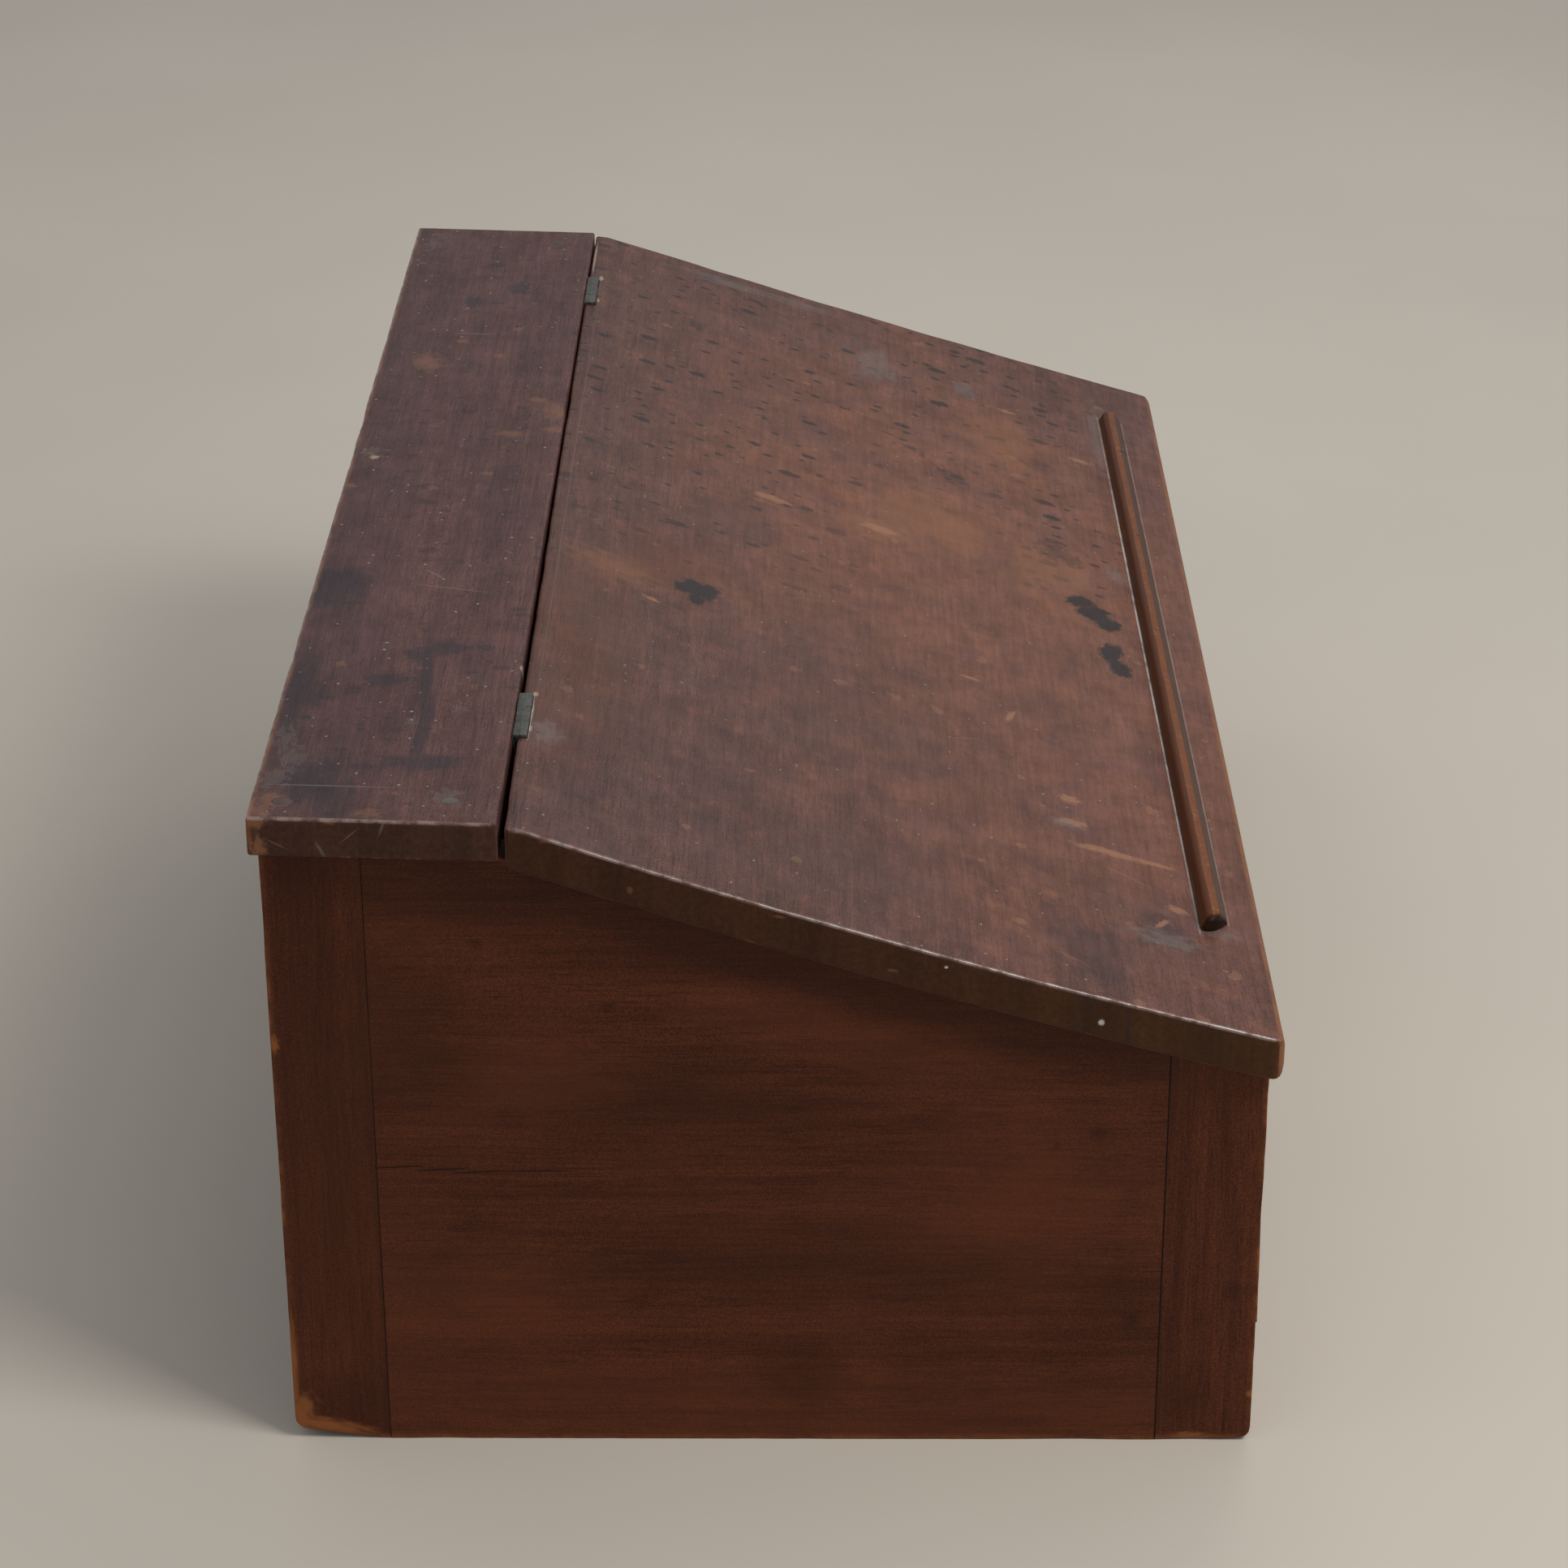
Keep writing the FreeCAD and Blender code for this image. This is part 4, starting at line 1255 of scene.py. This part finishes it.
def wear_front_foot(vert):
    """The front foot is only rounded."""
    wear_foot(vert, case_front_y, front_foot_rise)


def wear_rear_foot(vert):
    """The rear foot is worn away the most."""
    wear_foot(vert, case_rear_y, rear_foot_rise)


def standing(start_y, stop_y, top):
    """The outline of a board that stands on the floor under a slope."""
    return [(start_y, 0), (stop_y, 0), (stop_y, top(stop_y)), (start_y, top(start_y))]


roof_fall = math.tan(lid_slope) - math.tan(top_pitch)
roof_y = top_low.y + (top_under(top_low.y) - seat(top_low.y)) / roof_fall
panel_front_y = front_joint_y + panel_joint_gap / 2
panel_rear_y = rear_joint_y - panel_joint_gap / 2
panel_outline = [
    (panel_front_y, 0),
    (panel_rear_y, 0),
    (panel_rear_y, top_under(panel_rear_y)),
    (roof_y, top_under(roof_y)),
    (panel_front_y, seat(panel_front_y)),
]
front_stile = standing(case_front_y, front_joint_y, seat)
rear_stile = standing(rear_joint_y, case_rear_y, top_under)
end_net = ((along_desk, 8 * mm), (across_desk, 11 * mm), (upright, 11 * mm))
only_at_ends = 500 * mm
sloped_net = end_net + ((off_lid, only_at_ends),)
panel_joints = (panel_front_y, panel_rear_y)
panel_woods = [panel_wood, inner_across]
panel_ease = 0.8 * mm
stile_woods = [stile_wood, inner_upright]
stile_ease = 1 * mm
end_boards = (
    ("_end_panel", panel_outline, sloped_net, panel_woods, panel_ease, panel_joints, follow_seat),
    ("_front_stile", front_stile, sloped_net, stile_woods, stile_ease, [front_joint_y], wear_front_foot),
    ("_rear_stile", rear_stile, end_net, stile_woods, stile_ease, [rear_joint_y], wear_rear_foot),
)
for side, sign in (("left", -1), ("right", 1)):
    thickness = sorted((sign * x_inner, sign * x_case))
    for part, outline, net, woods, ease, joints_y, bend in end_boards:
        board(
            side + part,
            prism(outline, thickness),
            net,
            woods,
            ease=ease,
            joints_y=joints_y,
            bend=bend,
            bare_side=along_desk * -sign,
        )

# Front and back boards
front_outline = [
    (case_front_y - front_lean, front_bottom_z),
    (front_inner_y - front_lean, front_bottom_z),
    (front_inner_y, seat(front_inner_y)),
    (case_front_y, seat(case_front_y)),
]
rail_outline = standing(rail_low.y, front_inner_y, lambda y: rail_high.z)
back_outline = standing(back_inner_y, case_rear_y, top_under)
long_net = ((along_desk, 14 * mm), (across_desk, 8 * mm), (upright, 14 * mm))
for name, outline, bend, bare_side in (
    ("front_board", front_outline, follow_seat, across_desk),
    ("front_base_rail", rail_outline, None, across_desk),
    ("back_board", back_outline, None, -across_desk),
):
    shape = prism(outline, (-x_inner, x_inner))
    board(name, shape, long_net, [board_wood, inner_along], bend=bend, bare_side=bare_side)

# Top board, with holes for its screw plugs
plug_radius = 5.5 * mm
plug_depth = 7 * mm
plug_segments = 32
plug_clearance = 0.15 * mm
plug_sink = 0.15 * mm
plug_short = 0.5 * mm
plug_ease = 0.4 * mm
hole_rise = 5 * mm
front_plug_inset = 28 * mm
front_plug_y = top_low.y + 28 * mm
rear_plug_inset = 22 * mm
rear_plug_y = top_high.y - 18 * mm
plug_places = [
    (sign * (x_end - inset), y)
    for sign in (-1, 1)
    for inset, y in ((front_plug_inset, front_plug_y), (rear_plug_inset, rear_plug_y))
]
top_outline = [
    (top_low.y, top_under(top_low.y)),
    (top_high.y, top_under(top_high.y)),
    (top_high.y, top_high.z),
    (top_low.y, top_face(top_low.y)),
]
top_piece = board(
    "top_board",
    prism(top_outline, (-x_end, x_end)),
    ((up_top, 9 * mm), (off_top, 7 * mm), (along_desk, 9 * mm)),
    [top_wood, inner_along],
    ease=1.8 * mm,
    knocks=1.5 * mm,
    bare_side=-off_top,
)


def plug_shapes(radius, depth, proud):
    """Round plugs sunk square into the top board."""
    shapes = []
    for x, y in plug_places:
        shape = rod(radius, depth + proud, plug_segments)
        bmesh.ops.translate(shape, vec=upright * (proud - depth) / 2, verts=shape.verts)
        bmesh.ops.rotate(shape, matrix=Matrix.Rotation(top_pitch, 3, "X"), verts=shape.verts)
        bmesh.ops.translate(shape, vec=Vector((x, y, top_face(y))), verts=shape.verts)
        shapes.append(shape)
    return gathered(shapes)


cut_away(top_piece, plug_shapes(plug_radius + plug_clearance, plug_depth, hole_rise))
plugs = plug_shapes(plug_radius, plug_depth - plug_short, -plug_sink)
plug_arrises = sharp_edges(plugs)
plug_lines = ends_of(plug_arrises)
rounded(plugs, plug_arrises, plug_ease, small_segments)
plug_marks = {"edge_gap": gaps_to(plugs, plug_lines)}
plug_nodes = ["top_board_plugs"]
made_piece("top_board_plugs_worn", plugs, "case", [plug_wood], plug_nodes, plug_marks)

# Lid, with notches for its hinge leaves
nose_segments = 6
nose_reach = 0.01 * mm
notch_clearance = 0.5 * mm
notch_rise = 10 * mm


def bend_lid(vert):
    """Cups the lid, runs its hinge gap out of true and rounds its front corners in plan."""
    place = vert.co
    share = (place.x + x_end) / (2 * x_end)
    opening = (1 - share) ** gap_taper
    shift = far_gap_closing * (1 - opening) - near_gap_opening * opening
    shift *= eased(place.y, lid_high.y - gap_run, lid_high.y)
    place.z += lid_warp(place.x, place.y)
    reach = Vector((abs(place.x) - x_end + lid_corner_round, front_y + lid_corner_round - place.y))
    if min(reach) > 0 and reach.length > lid_corner_round:
        reach *= lid_corner_round / reach.length
        place.x = math.copysign(x_end - lid_corner_round + reach.x, place.x)
        place.y = front_y + lid_corner_round - reach.y
    place.y += shift


lid_outline = [
    (lid_high.y, lid_high.z),
    (crease_y, crease_z),
    (front_y, lid_face(front_y)),
    (front_y, lid_under(front_y)),
    (lid_high.y, lid_under(lid_high.y)),
]
lid_shape = prism(lid_outline, (-x_end, x_end))
for height, radius, turning in (
    (lid_face(front_y), lid_nose_top, quarter - lid_slope),
    (lid_under(front_y), lid_nose_bottom, quarter + lid_slope),
):
    nose = [
        edge
        for edge in lid_shape.edges
        if all(abs(vert.co.y - front_y) + abs(vert.co.z - height) < nose_reach for vert in edge.verts)
    ]
    rounded(lid_shape, nose, radius * math.tan(turning / 2), nose_segments)
lid_piece = board(
    "lid_board",
    lid_shape,
    ((up_slope, 9 * mm), (off_lid, 7 * mm), (along_desk, 9 * mm)),
    [lid_wood, inner_along],
    body="lid",
    ease=2.4 * mm,
    knocks=1.2 * mm,
    bend=bend_lid,
    bare_side=-off_lid,
)
notches = []
for side in ("left", "right"):
    leaf_low, leaf_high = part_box(side + "_hinge_lid_leaf")
    notch_low = Vector((leaf_low.x - notch_clearance, leaf_low.y, leaf_low.z - notch_clearance))
    notch_high = Vector((leaf_high.x + notch_clearance, lid_high.y + notch_rise, lid_high.z + notch_rise))
    notches.append(block(notch_low, notch_high))
cut_away(lid_piece, gathered(notches))


# Pencil ledge
def bend_ledge(vert):
    """Rounds the ledge's ends, sets it a little out of square and lays it on the cupped lid."""
    place = vert.co
    above = (place - ledge_foot).dot(off_lid)
    inset = min(place.x - ledge_low.x, ledge_high.x - place.x)
    aside = (place - ledge_foot).dot(up_slope) - ledge_from_front
    drop = 1 - clamped(inset / ledge_end_round)
    fall = 1 - math.sqrt(1 - drop * drop)
    place -= off_lid * above * ledge_end_fall * fall + up_slope * aside * ledge_end_pinch * fall
    forward = clamped(0.5 - aside / ledge_width)
    place.x += ledge_slant * forward ** 2 * (1 - eased(place.x - ledge_low.x, 0, ledge_slant_run))
    place.y += place.x * math.tan(math.radians(ledge_turn))
    place.z += lid_warp(place.x, place.y)


def lid_point(climb, above):
    """A point by its distance up the slope from the front and its height above the face."""
    found = ledge_foot + up_slope * climb + off_lid * above
    return (found.y, found.z)


ledge_outline = [lid_point(ledge_rear, 0), lid_point(ledge_front, 0)]
for step in range(1, ledge_facets + 1):
    share = step / ledge_facets
    bulge = ledge_front_bulge * math.sin(math.pi * share)
    climb = ledge_front + ledge_front_run * share - bulge
    ledge_outline.append(lid_point(climb, ledge_height * share + bulge))
for step in range(ledge_facets + 1):
    angle = quarter * step / ledge_facets
    climb = ledge_rear - ledge_rear_lean - ledge_rear_round * (1 - math.sin(angle))
    ledge_outline.append(lid_point(climb, ledge_height - ledge_rear_round * (1 - math.cos(angle))))
board(
    "pencil_ledge",
    prism(ledge_outline, (ledge_low.x, ledge_high.x)),
    ((up_slope, 3 * mm), (off_lid, 3 * mm), (along_desk, 6 * mm)),
    [ledge_wood],
    body="lid",
    ease=0.3 * mm,
    waves=0.3 * mm,
    knocks=0.8 * mm,
    bend=bend_ledge,
)

# Hinges: knuckles filed nearly flush with the lid, on leaves let into the two edges
knuckle_count = 3
knuckle_segments = 40
knuckle_gap = 0.3 * mm
knuckle_flat = 1.5 * mm
knuckle_ease = 0.35 * mm
file_weld = 0.001 * mm
neck_overlap = 1 * mm
pin_show = 0.25 * mm
leaf_thickness = 2 * mm


def knuckle(x_range, pin, radius):
    """One knuckle of a hinge, filed flat on its upper side."""
    shape = rod(radius, x_range[1] - x_range[0], knuckle_segments)
    bmesh.ops.rotate(shape, matrix=Matrix.Rotation(quarter, 3, "Y"), verts=shape.verts)
    bmesh.ops.translate(shape, vec=Vector((sum(x_range) / 2, pin.y, pin.z)), verts=shape.verts)
    cut = bmesh.ops.bisect_plane(
        shape,
        geom=everything(shape),
        dist=file_weld,
        plane_co=pin + upright * knuckle_flat,
        plane_no=upright,
        clear_outer=True,
    )["geom_cut"]
    rim = [item for item in cut if isinstance(item, bmesh.types.BMEdge)]
    bmesh.ops.contextual_create(shape, geom=rim)
    bmesh.ops.recalc_face_normals(shape, faces=shape.faces[:])
    rounded(shape, sharp_edges(shape), knuckle_ease, small_segments)
    return shape


for side in ("left", "right"):
    pin_low, pin_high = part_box(side + "_hinge_pin")
    pin = (pin_low + pin_high) / 2
    leaf_low, leaf_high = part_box(side + "_hinge_top_leaf")
    radius = leaf_high.z - pin.z
    pitch = (leaf_high.x - leaf_low.x + knuckle_gap) / knuckle_count
    lid_leaf_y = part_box(side + "_hinge_lid_leaf")[0].y
    for leaf, body, own, plate_y in (
        ("top", "case", 0, leaf_high.y - leaf_thickness),
        ("lid", "lid", 1, lid_leaf_y),
    ):
        plate_low = Vector((leaf_low.x, plate_y, leaf_low.z))
        plate_high = Vector((leaf_high.x, plate_y + leaf_thickness, pin.z - radius - knuckle_gap))
        shapes = [block(plate_low, plate_high)]
        for index in range(own, knuckle_count, 2):
            start = leaf_low.x + index * pitch + (pin_show if index == 0 else 0)
            stop = leaf_low.x + (index + 1) * pitch - knuckle_gap
            stop -= pin_show if index == knuckle_count - 1 else 0
            shapes.append(knuckle((start, stop), pin, radius))
            neck_low = Vector((start, plate_y, plate_high.z - neck_overlap))
            neck_high = Vector((stop, plate_y + leaf_thickness, pin.z))
            shapes.append(block(neck_low, neck_high))
        name = side + "_hinge_" + leaf + "_leaf"
        made_piece(name + "_worn", gathered(shapes), body, [hinge_iron], [name])

# Pieces of the frame that keep their own shape, with their finish and the ease of their edges
kept_weld = 0.01 * mm
kept_angle = math.radians(35)
corners = ("left_front", "right_front", "left_rear", "right_rear")
for finish, ease, names in (
    (inner_along, 1.2 * mm, ["front_bottom_cleat", "rear_bottom_cleat"]),
    (inner_across, 1.2 * mm, ["left_bottom_cleat", "right_bottom_cleat"]),
    (inner_along, 0.8 * mm, ["bottom_front_board", "bottom_rear_board"]),
    (inner_upright, 1.5 * mm, [corner + "_corner_block" for corner in corners]),
    (hinge_iron, 0.2 * mm, ["left_hinge_pin", "right_hinge_pin"]),
    (fastener_steel, 0.3 * mm, ["bottom_nails", "cleat_screws", "top_board_screws"]),
    (fastener_steel, 0.2 * mm, ["ledge_brads", "hinge_top_screws", "hinge_lid_screws"]),
):
    for name in names:
        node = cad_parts[name]
        node.data.materials.clear()
        node.data.materials.append(finish)
        weld = node.modifiers.new("weld", "WELD")
        weld.merge_threshold = kept_weld
        soften = node.modifiers.new("ease", "BEVEL")
        soften.width = ease
        soften.segments = small_segments
        soften.limit_method = "ANGLE"
        soften.angle_limit = kept_angle

# Floor
floor_reach = 12
floor_darker = [0.96 * part for part in floor_tone]
floor_material, shader, place = start_finish("floor", roughness=0.7, specular=0.2)[:3]
drift = ramped(mottle(place, scale=1.5, detail=3), 0.3, 0.7)
plug(shader.inputs["Base Color"], mixed(drift, floor_tone, floor_darker))
floor_shape = bmesh.new()
bmesh.ops.create_grid(floor_shape, x_segments=1, y_segments=1, size=floor_reach)
floor = placed("floor", mesh_of(floor_shape, "floor"))
floor.data.materials.append(floor_material)

# Light
lamp_tint = (1.0, 0.97, 0.93)
lamp_aim = Vector((0, 0, 0.3))
sky_tint = (0.95, 0.97, 1.0, 1)
sky_strength = 0.45


def soft_lamp(name, place, size, power):
    """A broad lamp that faces the desk."""
    data = bpy.data.lights.new(name, "AREA")
    data.shape = "SQUARE"
    data.size = size
    data.energy = power
    data.color = lamp_tint
    lamp = placed(name, data)
    lamp.location = place
    lamp.rotation_mode = "QUATERNION"
    lamp.rotation_quaternion = (lamp_aim - Vector(place)).to_track_quat("-Z", "Y")


soft_lamp("key", place=(-1.3, -1.5, 2.6), size=1.1, power=46)
soft_lamp("back_light", place=(2.2, -0.6, 2.4), size=1.6, power=14)
world = bpy.data.worlds.new("studio")
world.use_nodes = True
sky = world.node_tree.nodes["Background"].inputs
sky["Color"].default_value = sky_tint
sky["Strength"].default_value = sky_strength
bpy.context.scene.world = world
bpy.context.scene.view_settings.view_transform = "Standard"
